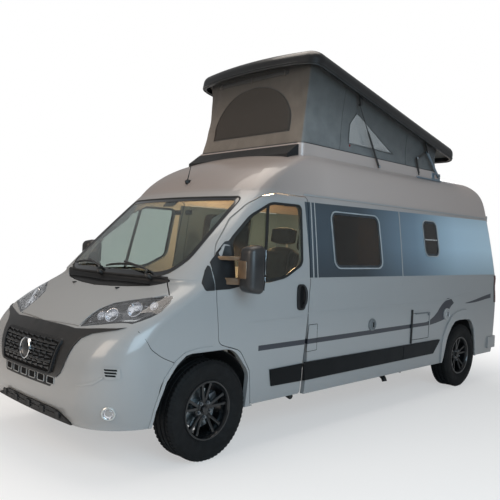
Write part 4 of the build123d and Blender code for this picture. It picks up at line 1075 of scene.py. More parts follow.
class CAMPER_OT_step_d_sides(bpy.types.Operator):
    """Makes the window rims, handles, flaps, cladding, arch edges and seams of both sides"""

    bl_idname = "camper.step_d_sides"
    bl_label = "Sides"

    def execute(self, context):
        for side, tag in SIDES:
            door = f"door_{tag}"
            laid(on_side, f"door_window_rubber_{tag}", (side, grow(DOOR_WINDOW, 4), 0.0022, 0.003, 0.05,
                 0.05, 0.024), door, "rubber", bevel=0.001)
            laid(on_side, f"door_window_bar_{tag}", (side, [(1478, 1330), (1590, 1952), (1624, 1952),
                 (1512, 1330)], 0.0014, 0.005, 0, 0.05), door, "rubber", bevel=0.0012)
            sail = [(967, 1266), (1110, 1270), (1215, 1288), (1258, 1312), (1252, 1330), (1164, 1338),
                    (1164, 1640), (1128, 1632), (1040, 1548), (968, 1470)]
            laid(on_side, f"door_sail_{tag}", (side, sail, 0.0012, 0.006, 0.006, 0.04), door,
                 "black_plastic", bevel=0.003)
            laid(on_side, f"pillar_triangle_{tag}", (side, [(882, 1262), (961, 1264), (956, 1369),
                 (958, 1440), (946, 1448), (916, 1412), (862, 1318), (868, 1276)], 0.0008, 0.005, 0.004,
                 0.03), "body", "black_plastic", bevel=0.002)

            laid(on_side, f"door_handle_cup_{tag}", (side, [(1900, 1292), (1900, 1070), (2004, 1070),
                 (2004, 1292)], 0.0006, 0.010, 0.036, 0.03), door, "black_plastic", bevel=0.004)
            # The handle's well is a near-black patch on the cup: painted shade of the recess.
            laid(on_side, f"door_handle_well_{tag}", (side, [(1934, 1276), (1934, 1086), (1976, 1086),
                 (1976, 1276)], 0.0108, 0.0012, 0.018, 0.03), door, "grille_dark")
            grip = [(1982, 1112), (1984, 1134), (1984, 1190), (1984, 1246), (1982, 1268)]
            lift = (0.014, 0.032, 0.038, 0.032, 0.014)
            spots = [on_skin(at(s, side * 1100, z), Vector((0, side, 0))) + Vector((0, side * h, 0))
                     for (s, z), h in zip(grip, lift)]
            tube(f"door_handle_grip_{tag}", spots, 0.013, door, "black_plastic")

            clad_door = [(1584, 604), (1600, 528), (1616, 462), (1994, 458), (1992, 610)]
            bm = bmesh.new()
            on_side(bm, side, clad_door, 0.0005, 0.011, 0.004, 0.05)
            piece(f"door_cladding_{tag}", bm, door, "cladding", bevel=0.005)
            for part, run in (("front", [(2024, 610), (2024, 459), (3624, 465), (3624, 612)]),
                              ("rear", [(3637, 612), (3637, 465), (4284, 468), (4420, 612)])):
                laid(on_side, f"side_cladding_{part}_{tag}", (side, run, 0.0122, 0.0035, 0.004, 0.08),
                     "body", "cladding", bevel=0.002)

            window_side = ((SIDE_WINDOW, "wide", "body"), (NARROW_WINDOW, "narrow", "body"))
            for outline, label, body in window_side:
                laid(on_side, f"window_{label}_rim_{tag}", (side, grow(outline, 9), 0.0006, 0.011, 0.086,
                     0.05, 0.013), body, "window_frame", bevel=0.004)
                laid(on_side, f"window_{label}_seal_{tag}", (side, grow(outline, -4), 0.0008, 0.008,
                     0.073, 0.05, 0.022), body, "seal_grey", bevel=0.0025)
                laid(on_side, f"window_{label}_pane_{tag}", (side, grow(outline, -24), 0.0012, 0.0035,
                     0.053, 0.10), body, "dark_glass")
            laid(on_side, f"window_narrow_bar_{tag}", (side, [(4128, 1752), (4128, 1738), (4406, 1738),
                 (4406, 1752)], 0.0050, 0.004, 0, 0.05), "body", "clear_trim", bevel=0.001)

            rear_arch = [(4474, 560), (4500, 640), (4575, 768), (4680, 860), (4780, 905), (4900, 926),
                         (5039, 930), (5203, 887), (5290, 780), (5318, 700), (5328, 600), (5392, 330),
                         (5372, 330), (5300, 560), (5262, 680), (5190, 770), (5130, 802), (5000, 812),
                         (4860, 812), (4760, 800), (4680, 745), (4610, 655), (4575, 590), (4520, 335),
                         (4490, 335)]
            laid(on_side, f"rear_arch_edge_{tag}", (side, rear_arch, 0.0004, 0.016, 0, 0.04), "body",
                 "trim_paint", bevel=0.006)
            front_arch = [(424, 330), (452, 468), (520, 660), (610, 772), (700, 830), (820, 848), (960, 850),
                          (960, 826),
                          (800, 826), (705, 806), (628, 748), (545, 642), (475, 468), (446, 330)]
            laid(on_side, f"front_arch_edge_{tag}", (side, front_arch, 0.0004, 0.006, 0, 0.04), "body",
                 "trim_paint", bevel=0.002)
            waist = [(2030, 1346), (2030, 1336), (5838, 1336), (5838, 1346)]
            laid(on_side, f"waist_line_{tag}", (side, waist, 0.0003, 0.0018, 0, 0.12), "body",
                 "trim_paint", bevel=0.0008)
            bm = bmesh.new()
            on_side(bm, side, [(2080, 2082), (2080, 2066), (5850, 2066), (5850, 2082)], 0.0006, 0.010, 0,
                    0.12)
            piece(f"gutter_rail_{tag}", bm, "body", "trim_paint", bevel=0.003)
            for number, (high_at, low_at, wide) in enumerate(((2160, 2116, 16), (2212, 2176, 13)), 1):
                laid(on_side, f"pillar_bead_{number}_{tag}", (side, [(high_at, 2016), (low_at, 1337),
                     (low_at + wide, 1337), (high_at + wide, 2016)], 0.0004, 0.004, 0, 0.10), "body",
                     "trim_paint", bevel=0.0015)
            if side == LEFT:
                laid(on_side, "panel_bead_left", (side, [(3634, 2028), (3592, 1330), (3588, 1240),
                     (3602, 1240), (3607, 1330), (3650, 2028)], 0.0004, 0.003, 0, 0.10), "body",
                     "trim_paint", bevel=0.001)
            laid(on_side, f"side_crease_{tag}", (side, [(2030, 1043), (2030, 1034), (4420, 1040),
                 (5100, 1120), (5830, 1122), (5830, 1131), (5090, 1130), (4410, 1050)], 0.0003, 0.0022, 0,
                 0.12), "body", "trim_paint", bevel=0.001)
            laid(on_side, f"door_crease_{tag}", (side, [(1320, 1003), (1330, 1000), (1990, 1004),
                 (1990, 1016), (1660, 1012)], 0.0003, 0.0022, 0, 0.12), door, "trim_paint", bevel=0.001)
            laid(on_side, f"tail_seam_{tag}", (side, [(5838, 1332), (5838, 985), (5842, 985),
                 (5842, 1332)], 0.0004, 0.002, 0, 0.05), "body", "rubber")

        # the fuel flap, the round fillers and the hatch on the left side
        laid(on_side, "fuel_flap_seam", (LEFT, [(2063, 938), (2186, 940), (2188, 706), (2040, 700)],
             0.0004, 0.0012, 0.010, 0.05, 0.004), "body", "rubber")
        bm = bmesh.new()
        on_side(bm, LEFT, [(2069, 933), (2180, 935), (2182, 712), (2047, 706)], 0.0004, 0.0026, 0.008, 0.05)
        piece("fuel_flap", bm, "body", "body_paint", bevel=0.0012)
        for label, station, height, radius, key in (("vent", 3036, 875, 0.058, "grey_plastic"),
                                                    ("filler", 4559, 897, 0.066, "trim_paint")):
            spot = on_skin(at(station, 1100, height), Vector((0, 1, 0)))
            laid(lathe, f"round_{label}", ([(0, 0.020), (radius * 0.45, 0.019), (radius * 0.52, 0.012),
                 (radius * 0.72, 0.011), (radius * 0.78, 0.017), (radius, 0.015), (radius * 1.04, 0.006),
                 (radius * 1.04, -0.004)], spot, (0, 1, 0), 48), "body", key, closed=False)
            laid(block, f"round_{label}_catch", (spot + Vector((-0.010, 0.012, -0.024)),
                 spot + Vector((0.010, 0.026, 0.024)), 0.003), "body",
                 "rubber" if label == "vent" else "grey_plastic")
        hatch = [(3796, 958), (4178, 958), (4178, 640), (3796, 640)]
        laid(on_side, "hatch_frame", (LEFT, hatch, 0.0004, 0.004, 0.016, 0.06, 0.014), "body",
             "trim_paint", bevel=0.0012)
        laid(on_side, "hatch_seam", (LEFT, grow(hatch, -15), 0.0004, 0.0012, 0.012, 0.06, 0.005), "body",
             "rubber")
        laid(on_side, "hatch_side_strip", (LEFT, [(3772, 985), (3800, 985), (3800, 622), (3772, 622)],
             0.0006, 0.012, 0.004, 0.06), "body", "rubber", bevel=0.003)
        bm = bmesh.new()
        on_side(bm, LEFT, [(3860, 946), (4140, 946), (4140, 930), (3860, 930)], 0.0008, 0.008, 0.004, 0.06)
        on_side(bm, LEFT, [(4130, 942), (4160, 942), (4160, 905), (4130, 905)], 0.0008, 0.012, 0.006, 0.06)
        piece("hatch_catch", bm, "body", "grey_plastic", bevel=0.002)

        # the sliding door's rail and handle on the right side
        laid(on_side, "slide_rail", (RIGHT, [(3660, 1120), (5250, 1120), (5250, 1092), (3660, 1092)],
             0.0006, 0.006, 0.006, 0.08), "body", "black_plastic", bevel=0.002)
        laid(on_side, "slide_handle_cup", (RIGHT, [(2252, 1290), (2252, 1072), (2330, 1072),
             (2330, 1290)], 0.0006, 0.010, 0.032, 0.03), "body", "black_plastic", bevel=0.004)
        # The handle's well is a near-black patch on the cup: painted shade of the recess.
        laid(on_side, "slide_handle_well", (RIGHT, [(2268, 1276), (2268, 1086), (2314, 1086),
             (2314, 1276)], 0.0108, 0.0012, 0.018, 0.03), "body", "grille_dark")
        grip = ((2292, 1098, 0.014), (2290, 1120, 0.032), (2290, 1240, 0.032), (2292, 1262, 0.014))
        spots = [on_skin(at(s, -1100, z), Vector((0, -1, 0))) + Vector((0, -h, 0)) for s, z, h in grip]
        tube("slide_handle_grip", spots, 0.013, "body", "black_plastic")

        # pipes below the sill
        tube("waste_pipe", [at(2010, 700, 470), at(2010, 720, 380), at(2000, 800, 318), at(1985, 905, 300)],
             0.024, "body", "rubber")
        tube("drain_pipe", [at(3560, 700, 470), at(3560, 720, 350), at(3545, 800, 285), at(3530, 860, 262),
                            at(3528, 872, 225)], 0.026, "body", "rubber")
        tube("drain_lever", [at(3700, 700, 470), at(3700, 712, 330), at(3712, 770, 300), at(3790, 905, 300)],
             0.009, "body", "iron")
        tube("exhaust_pipe", [at(1300, -300, 380), at(2200, -300, 350), at(3400, -330, 350),
                              at(4300, -560, 350),
                              at(5400, -560, 350), at(5800, -560, 370)], 0.032, "body", "steel")
        laid(lathe, "exhaust_silencer", ([(0, 0.34), (0.09, 0.33), (0.11, 0.30), (0.11, -0.30),
             (0.09, -0.33), (0, -0.34)], at(2900, -300, 352), (1, 0, 0), 32), "body", "steel",
             closed=False)
        return {"FINISHED"}


class CAMPER_OT_step_l_seams(bpy.types.Operator):
    """Makes the dark seams between the bumper, the wings and the lamps"""

    bl_idname = "camper.step_l_seams"
    bl_label = "Front seams"

    def execute(self, context):
        for side, tag in SIDES:
            line = []
            for s, z in [(330, 1000), (352, 968), (378, 925), (402, 880), (440, 852), (497, 814), (560, 786),
                         (606, 766)]:
                facing = Vector((0.45, side, 0.1)).normalized()
                spot = skin_at(at(s, side * 950, z), facing)[0]
                line.append(Vector((NOSE - s / 1000, spot.y, z / 1000)))
            line = [SKIN.ray_cast(Vector((p.x, side * 3, p.z)), Vector((0, -side, 0)))[0] or p for p in line]
            tube(f"bumper_seam_{tag}", line, 0.0022, "body", "rubber")
        return {"FINISHED"}


class CAMPER_OT_step_e_mirrors(bpy.types.Operator):
    """Makes the door mirrors with their arms and two glasses"""

    bl_idname = "camper.step_e_mirrors"
    bl_label = "Mirrors"

    def execute(self, context):
        for side, tag in SIDES:
            body = f"door_{tag}"
            bm = bmesh.new()
            low, high = at(1262, 1072, 1236), at(1112, 1250, 1618)
            low, high = Vector((low.x, low.y, low.z)), Vector((high.x, high.y, high.z))
            made = bmesh.ops.create_cube(bm, size=1)["verts"]
            bmesh.ops.scale(bm, vec=high - low, verts=made)
            bmesh.ops.translate(bm, vec=(low + high) / 2, verts=made)
            front = [v for v in bm.verts if v.co.x > (low.x + high.x) / 2]
            heart = Vector((high.x, (low.y + high.y) / 2, (low.z + high.z) / 2))
            bmesh.ops.scale(bm, vec=(1, 0.84, 0.86), verts=front, space=Matrix.Translation(-heart))
            bmesh.ops.bevel(bm, geom=bm.edges[:], offset=0.046, segments=5, profile=0.5, affect="EDGES",
                            material=-1)
            if side == RIGHT:
                bmesh.ops.scale(bm, vec=(1, -1, 1), verts=bm.verts[:])
            head = piece(f"mirror_head_{tag}", bm, body, "mirror_shell")
            bm = bmesh.new()
            for z, inner, deep in ((1306, 962, 0.052), (1490, 950, 0.030)):
                arm = [at(1030, inner, z), at(1110, inner - 18, z), at(1200, 1050, z), at(1215, 1092, z),
                       at(1150, 1100, z), at(1085, 1030, z)]
                prism(bm, [Vector((p.x, side * p.y, p.z)) for p in arm], Vector((0, 0, deep)), 0.006)
            piece(f"mirror_arms_{tag}", bm, body, "mirror_bronze")
            laid(block, f"mirror_stem_{tag}", ((at(1150, 0, 0).x, min(side * 1.096, side * 1.186), 1.356),
                 (at(1104, 0, 0).x, max(side * 1.096, side * 1.186), 1.492), 0.010), body,
                 "mirror_bronze")
            bm = bmesh.new()
            back = at(1264, 0, 0).x
            for z0, z1 in ((1.392, 1.580), (1.272, 1.378)):
                block(bm, (back - 0.004, min(side * 1.090, side * 1.232), z0),
                      (back, max(side * 1.090, side * 1.232), z1),
                      0.0018)
            piece(f"mirror_glass_{tag}", bm, body, "mirror_silver")
            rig.replaces(head, f"mirror_{tag}")
        return {"FINISHED"}


SLOT_OF.update({"mirror_shell": "black_plastic", "mirror_bronze": "black_plastic"})


# ---------------------------------------------------------------- wheels
WHEELS = (("front_left", 948, LEFT, 0.905, "knuckle_left"),
          ("front_right", 948, RIGHT, 0.905, "knuckle_right"),
          ("rear_left", 4983, LEFT, 0.895, "body"), ("rear_right", 4983, RIGHT, 0.895, "body"))


def wheel_place(station, side, track):
    """Local X forward, Y up and Z outwards at a wheel's centre."""
    turned = Matrix(((1, 0, 0), (0, 0, side), (0, 1, 0))).to_4x4()
    return Matrix.Translation((NOSE - station / 1000, side * track, HUB_HEIGHT)) @ turned


class CAMPER_OT_step_f_wheels(bpy.types.Operator):
    """Makes the cast rims with five paired spokes, the bolts, caps and brakes, and the tyres' rings and lugs"""

    bl_idname = "camper.step_f_wheels"
    bl_label = "Wheels"

    def execute(self, context):
        for name, station, side, track, carrier in WHEELS:
            body = f"wheel_{name}"
            place = wheel_place(station, side, track)
            bm = bmesh.new()
            lathe(bm, [(0.2195, 0.0965), (0.2195, 0.0885), (0.2035, 0.0800), (0.1975, 0.060), (0.1960, 0.0),
                       (0.1960, -0.086), (0.2030, -0.0895), (0.2190, -0.0895), (0.2190,
                                                              -0.0965), (0.1970, -0.0965), (0.1915, -0.086),
                       (0.1915, 0.0), (0.1925, 0.058), (0.1985, 0.0815), (0.2080, 0.0965), (0.2195, 0.0965)],
                  (0, 0, 0), (0, 0, 1), 72)
            spokes = bmesh.new()
            for lean in (-1, 1):
                arm = [(0.052, -0.013), (0.120, -0.0125), (0.165, -0.0115), (0.197, -0.015), (0.197, 0.015),
                       (0.165, 0.0115), (0.120, 0.0125), (0.052, 0.013)]
                part = bmesh.new()
                spots = []
                for r, w in arm:
                    spread = 0.006 + (r - 0.05) * 0.235
                    dish = 0.052 + 0.022 * ((r - 0.05) / 0.147) ** 1.5
                    spots.append(Vector((r, lean * spread + w, dish)))
                face = part.faces.new([part.verts.new(p) for p in spots])
                grown = bmesh.ops.extrude_face_region(part, geom=[face])
                back = [g for g in grown["geom"] if isinstance(g, bmesh.types.BMVert)]
                bmesh.ops.translate(part, verts=back, vec=(0, 0, -0.032))
                bmesh.ops.recalc_face_normals(part, faces=part.faces[:])
                bmesh.ops.bevel(part, geom=[e for e in part.edges if e.calc_face_angle(0) > 0.9],
                                offset=0.0042, segments=2, profile=0.5, affect="EDGES", material=-1)
                join(spokes, part)
            for k in range(5):
                copy = bmesh.new()
                holder = bpy.data.meshes.new("spoke")
                spokes.to_mesh(holder)
                copy.from_mesh(holder)
                bpy.data.meshes.remove(holder)
                bmesh.ops.rotate(copy, verts=copy.verts[:], cent=(0, 0, 0),
                                 matrix=Matrix.Rotation(math.radians(90 + 72 * k), 3, "Z"))
                join(bm, copy)
            spokes.free()
            hub = bmesh.new()
            lathe(hub, [(0, 0.058), (0.034, 0.058), (0.036, 0.050), (0.066, 0.050), (0.078, 0.042),
                        (0.080, 0.012), (0.080, -0.020), (0, -0.020)], (0, 0, 0), (0, 0, 1), 60)
            join(bm, hub)
            bmesh.ops.transform(bm, matrix=place, verts=bm.verts[:])
            rim = piece(f"cast_rim_{name}", bm, body, "wheel_black", angle=38)
            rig.replaces(rim, f"rim_{name}")

            bm = bmesh.new()
            for k in range(5):
                spot = Matrix.Rotation(math.radians(54 + 72 * k), 3, "Z") @ Vector((0.057, 0, 0))
                made = bmesh.ops.create_cone(bm, cap_ends=True, segments=6, radius1=0.0105, radius2=0.0095,
                                             depth=0.018)
                bmesh.ops.translate(bm, vec=spot + Vector((0, 0, 0.058)), verts=made["verts"])
                lathe(bm, [(0, 0.0505), (0.0145, 0.0505), (0.0145, 0.054), (0, 0.054)], spot, (0, 0, 1), 20)
            bmesh.ops.transform(bm, matrix=place, verts=bm.verts[:])
            piece(f"wheel_bolts_{name}", bm, body, "alloy")
            bm = bmesh.new()
            lathe(bm, [(0, 0.071), (0.020, 0.070), (0.028, 0.066), (0.031, 0.057)], (0, 0, 0), (0, 0, 1), 40)
            bmesh.ops.transform(bm, matrix=place, verts=bm.verts[:])
            piece(f"wheel_cap_{name}", bm, body, "badge_dark")
            bm = bmesh.new()
            out = 0.011 if "front" in name else 0.0
            lathe(bm, [(0.0, -0.024), (0.150, -0.024), (0.150, -0.018), (0.148, -0.016), (0.100, -0.016),
                       (0.098, -0.018), (0.085, -0.018), (0.0, -0.018)], (0, 0, out), (0, 0, 1), 56)
            bmesh.ops.transform(bm, matrix=place, verts=bm.verts[:])
            piece(f"brake_disc_{name}", bm, body, "brake_steel")
            bm = bmesh.new()
            turn = Matrix.Rotation(math.radians(160 if "front" in name else 20), 3, "Z")
            made = []
            for z0, z1 in ((-0.052, -0.028 + out), (-0.012 + out, 0.010 + out * 0.4)):
                made += block(bm, (0.098, -0.062, z0), (0.168, 0.062, z1), 0.007)
            made += block(bm, (0.154, -0.055, -0.05), (0.172, 0.055, 0.008), 0.005)
            bmesh.ops.rotate(bm, verts=bm.verts[:], cent=(0, 0, 0), matrix=turn)
            bmesh.ops.transform(bm, matrix=place, verts=bm.verts[:])
            piece(f"brake_caliper_{name}", bm, carrier, "alloy")
            bm = bmesh.new()
            lathe(bm, [(0.2215, 0.0935), (0.2255, 0.0965), (0.2275, 0.0960), (0.2290, 0.0940)], (0, 0, 0),
                  (0, 0, 1), 72)
            lathe(bm, [(0.3420, 0.1050), (0.3440, 0.1068), (0.3465, 0.1062), (0.3480, 0.1040)], (0, 0, 0),
                  (0, 0, 1), 72)
            bmesh.ops.transform(bm, matrix=place, verts=bm.verts[:])
            piece(f"tyre_rings_{name}", bm, body, "tyre", closed=False)
            bm = bmesh.new()
            count = 64
            block_verts = bmesh.new()
            for y in (-0.0735, 0.0735):
                made = block(block_verts, (-0.012, -0.0105, -0.5), (0.012, 0.0105, 0.5), 0.0)
                bmesh.ops.scale(block_verts, vec=(1, 1, 0.026), verts=made)
                bmesh.ops.translate(block_verts, vec=(0.3625, 0, y), verts=made)
            holder = bpy.data.meshes.new("lug")
            block_verts.to_mesh(holder)
            block_verts.free()
            for k in range(count):
                start = len(bm.verts)
                bm.from_mesh(holder)
                bm.verts.ensure_lookup_table()
                bmesh.ops.rotate(bm, verts=bm.verts[start:], cent=(0, 0, 0),
                                 matrix=Matrix.Rotation(2 * math.pi * k / count, 3, "Z"))
            bpy.data.meshes.remove(holder)
            bmesh.ops.transform(bm, matrix=place, verts=bm.verts[:])
            piece(f"tyre_lugs_{name}", bm, body, "tyre")
        return {"FINISHED"}


def make_rubber_tyre():
    """Tyre rubber: shoulder blocks across the tread and fine rings on the wall, with painted shade in the sipes."""
    made = Finish("tyre", tint(15, 16, 17), 0.75, Specular_IOR_Level=0.25)
    x, y, z = made.axes()
    centre = made.sums("MULTIPLY_ADD", made.sums("GREATER_THAN", x, 0.0), 4.035, -1.984)
    out = made.sums("SUBTRACT", x, centre)
    rise = made.sums("SUBTRACT", z, HUB_HEIGHT)
    angle = made.sums("ARCTAN2", rise, out)
    radius = made.sums("SQRT", made.sums("ADD", made.sums("MULTIPLY", out, out),
                                         made.sums("MULTIPLY", rise, rise)))
    tread = made.sums("GREATER_THAN", radius, 0.345)
    inset = made.sums("SUBTRACT", made.sums("ABSOLUTE", y), 0.90)
    sipes = made.sums("SINE", made.sums("ADD", made.sums("MULTIPLY", angle, 76),
                                        made.sums("MULTIPLY", inset, 60)))
    sipes = made.sums("MULTIPLY", made.sums("GREATER_THAN", sipes, 0.45), tread)
    rings = made.sums("MULTIPLY", made.sums("SINE", made.sums("MULTIPLY", radius, 560)),
                      made.sums("SUBTRACT", 1.0, tread))
    made.bump(made.sums("MULTIPLY_ADD", rings, 0.12, made.sums("MULTIPLY", sipes, -1.0)), 0.004, 0.8)
    made.bump(made.noise(240, 4), 0.0005, 0.5)
    # A random tone, with painted shade that darkens the sipes.
    shade = made.sums("ADD", made.sums("MULTIPLY", made.noise(22, 5), 0.7),
                      made.sums("MULTIPLY", sipes, -0.3))
    made.colour(made.ramp(shade, (0.05, tint(7, 7, 8)), (0.35, tint(14, 15, 16)), (0.6, tint(25, 26, 27))))
    made.rough(made.noise(14, 4), 0.62, 0.82)
    return made


SLOT_OF.update({"brake_steel": "steel"})


# ---------------------------------------------------------------- lifting roof
ROOF_REAR = (5.038, 2.734)
ROOF_LONG, ROOF_HALF, ROOF_BOW, ROOF_CORNER = 2.922, 0.825, 0.080, 0.150
TENT_LOW = 2.5730
TENT_HALF = 0.723
TENT_FRONT, TENT_FRONT_TOP, TENT_REAR = 2.221, 2.328, 4.772
TENT_RISE = 0.072
TENT_CORNER = 0.055


def roof_rim(station):
    """Height of the open roof shell's bottom edge over a station, in metres."""
    return ROOF_REAR[1] + (ROOF_REAR[0] - station) * math.tan(ROOF_SLOPE)


def on_roof(along, side, lift):
    """A point of the open roof shell: along it from its rear edge, sideways, and square to its rim."""
    low = Vector((NOSE - ROOF_REAR[0], 0, ROOF_REAR[1]))
    ahead = Vector((math.cos(ROOF_SLOPE), 0, math.sin(ROOF_SLOPE)))
    square = Vector((-math.sin(ROOF_SLOPE), 0, math.cos(ROOF_SLOPE)))
    return low + ahead * along + Vector((0, side, 0)) + square * lift


def roof_outline(inset, steps=10):
    """The roof shell's outline seen square on, as (along, side) pairs, drawn in by an inset."""
    half, corner = ROOF_HALF - inset, ROOF_CORNER - inset
    straight = ROOF_LONG - ROOF_BOW - inset
    points = []
    for step in range(steps + 1):
        turn = math.pi / 2 * step / steps
        points.append((inset + corner * (1 - math.cos(turn)), half - corner * (1 - math.sin(turn))))
    for step in range(steps + 1):
        turn = math.pi / 2 * step / steps
        points.append((straight - corner * (1 - math.sin(turn)) + 0.012,
                       half - corner * (1 - math.cos(turn))))
    for step in range(1, steps):
        side = (half - corner) * (1 - step / steps)
        points.append((straight + ROOF_BOW * (1 - (side / half) ** 2), side))
    return points + [(along, -side) for along, side in reversed(points)]


def tent_spot(way, height):
    """A point of the tent wall: way round it from 0 to 1, starting at the rear middle, and height 0 to 1.

    Returns the point, the outward direction and how near the spot is to a corner."""
    long = TENT_REAR - TENT_FRONT
    corner = TENT_CORNER
    sides = [TENT_HALF - corner, long - 2 * corner, 2 * (TENT_HALF - corner), long - 2 * corner,
             TENT_HALF - corner]
    arc = corner * math.pi / 2
    total = sum(sides) + 4 * arc
    run = (way % 1.0) * total
    starts = [(TENT_REAR, 0), (TENT_REAR - corner, TENT_HALF), (TENT_FRONT, TENT_HALF - corner),
              (TENT_FRONT + corner, -TENT_HALF), (TENT_REAR, -TENT_HALF + corner)]
    moves = [(0, 1), (-1, 0), (0, -1), (1, 0), (0, 1)]
    centres = [(TENT_REAR - corner, TENT_HALF - corner), (TENT_FRONT + corner, TENT_HALF - corner),
               (TENT_FRONT + corner, corner - TENT_HALF), (TENT_REAR - corner, corner - TENT_HALF)]
    for index in range(5):
        if run <= sides[index] or index == 4:
            station = starts[index][0] + moves[index][0] * run
            side = starts[index][1] + moves[index][1] * run
            outward = Vector((-moves[index][1], -moves[index][0], 0))
            outward = (Vector((-1, 0, 0)), Vector((0, 1, 0)), Vector((1, 0, 0)), Vector((0, -1, 0)),
                       Vector((-1, 0, 0)))[index]
            nearest = min(run, sides[index] - run) if index not in (0, 4) else (
                sides[0] - run if index == 0 else run)
            near = max(0.0, 1 - max(0.0, nearest) / 0.22)
            break
        run -= sides[index]
        if run <= arc:
            turn = run / corner
            begin = (0, math.pi / 2, math.pi, 1.5 * math.pi)[index]
            angle = begin + turn
            outward = Vector((-math.cos(angle), math.sin(angle), 0))
            station = centres[index][0] + corner * math.cos(angle)
            side = centres[index][1] + corner * math.sin(angle)
            near = 1.0
            break
        run -= arc
    fore = (TENT_REAR - station) / long
    station += fore * (TENT_FRONT_TOP - TENT_FRONT) * height
    top = roof_rim(station) + TENT_RISE
    spot = Vector((NOSE - station, side, TENT_LOW + (top - TENT_LOW) * height))
    return spot, outward, near


def tent_point(way, height, lift=0.0):
    """The tent wall where the fabric hangs: drawn in between its edges, with soft creases."""
    spot, outward, near = tent_spot(way, height)
    tall = (spot.z - TENT_LOW) / max(height, 0.02) if height > 0.02 else 0.5
    loose = math.sin(math.pi * min(1, max(0, height)))
    drawn = (0.014 + 0.030 * near ** 2) * loose * min(1.0, tall / 0.55)
    fold = noise.noise(Vector((spot.x * 1.7 + spot.y * 1.3, spot.z * 5.2, 3.1))) * 0.006
    fold += noise.noise(Vector(((spot.x + spot.z * 1.4) * 7, (spot.y - spot.z) * 7, 8.4))) * 0.0022
    fold += math.sin((spot.x + spot.y) * 19 + spot.z * 26 * near) * 0.0022 * near
    return spot - outward * (drawn + fold * loose) + outward * lift


def way_at(face, value):
    """How far round the tent a spot is: value is the side offset on the front, the station on a side."""
    long = TENT_REAR - TENT_FRONT
    corner = TENT_CORNER
    arc = corner * math.pi / 2
    total = 2 * (TENT_HALF - corner) * 2 + 2 * (long - 2 * corner) + 4 * arc
    if face == "left":
        run = TENT_HALF - corner + arc + (TENT_REAR - corner - value)
    elif face == "front":
        run = TENT_HALF - corner + 2 * arc + long - 2 * corner + (TENT_HALF - corner - value)
    else:
        run = 3 * (TENT_HALF - corner) + 3 * arc + long - 2 * corner + (value - TENT_FRONT - corner)
    return run / total


def height_at(face, value, z):
    """The share of the tent's height at which a spot lies."""
    station = value if face != "front" else TENT_FRONT
    fore = (TENT_REAR - station) / (TENT_REAR - TENT_FRONT)
    share = 0.5
    for _ in range(6):
        here = station + fore * (TENT_FRONT_TOP - TENT_FRONT) * share
        share = (z - TENT_LOW) / (roof_rim(here) + TENT_RISE - TENT_LOW)
    return share


def tent_at(face, value, z, lift=0.0):
    return tent_point(way_at(face, value), height_at(face, value, z), lift)


def tent_panel(name, face, rows, lift, key, across=26):
    """A panel sewn on the tent wall: rows of (z, low value, high value)."""
    bm = bmesh.new()
    grid = []
    for z, low, high in rows:
        grid.append([bm.verts.new(tent_at(face, low + (high - low) * i / across, z,
                                          lift)) for i in range(across + 1)])
    for lower, upper in zip(grid, grid[1:]):
        for i in range(across):
            bm.faces.new((lower[i], lower[i + 1], upper[i + 1], upper[i]))
    made = piece(name, bm, "body", key, closed=False, angle=60)
    skin = made.modifiers.new("cloth", "SOLIDIFY")
    skin.thickness = 0.0012
    skin.offset = 0
    return made


def folds_with_roof(obj):
    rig.squash(obj, "roof_arms_swing", axis=(0, 0, 1), anchor=(0, 0, TENT_LOW), keep=0.1)


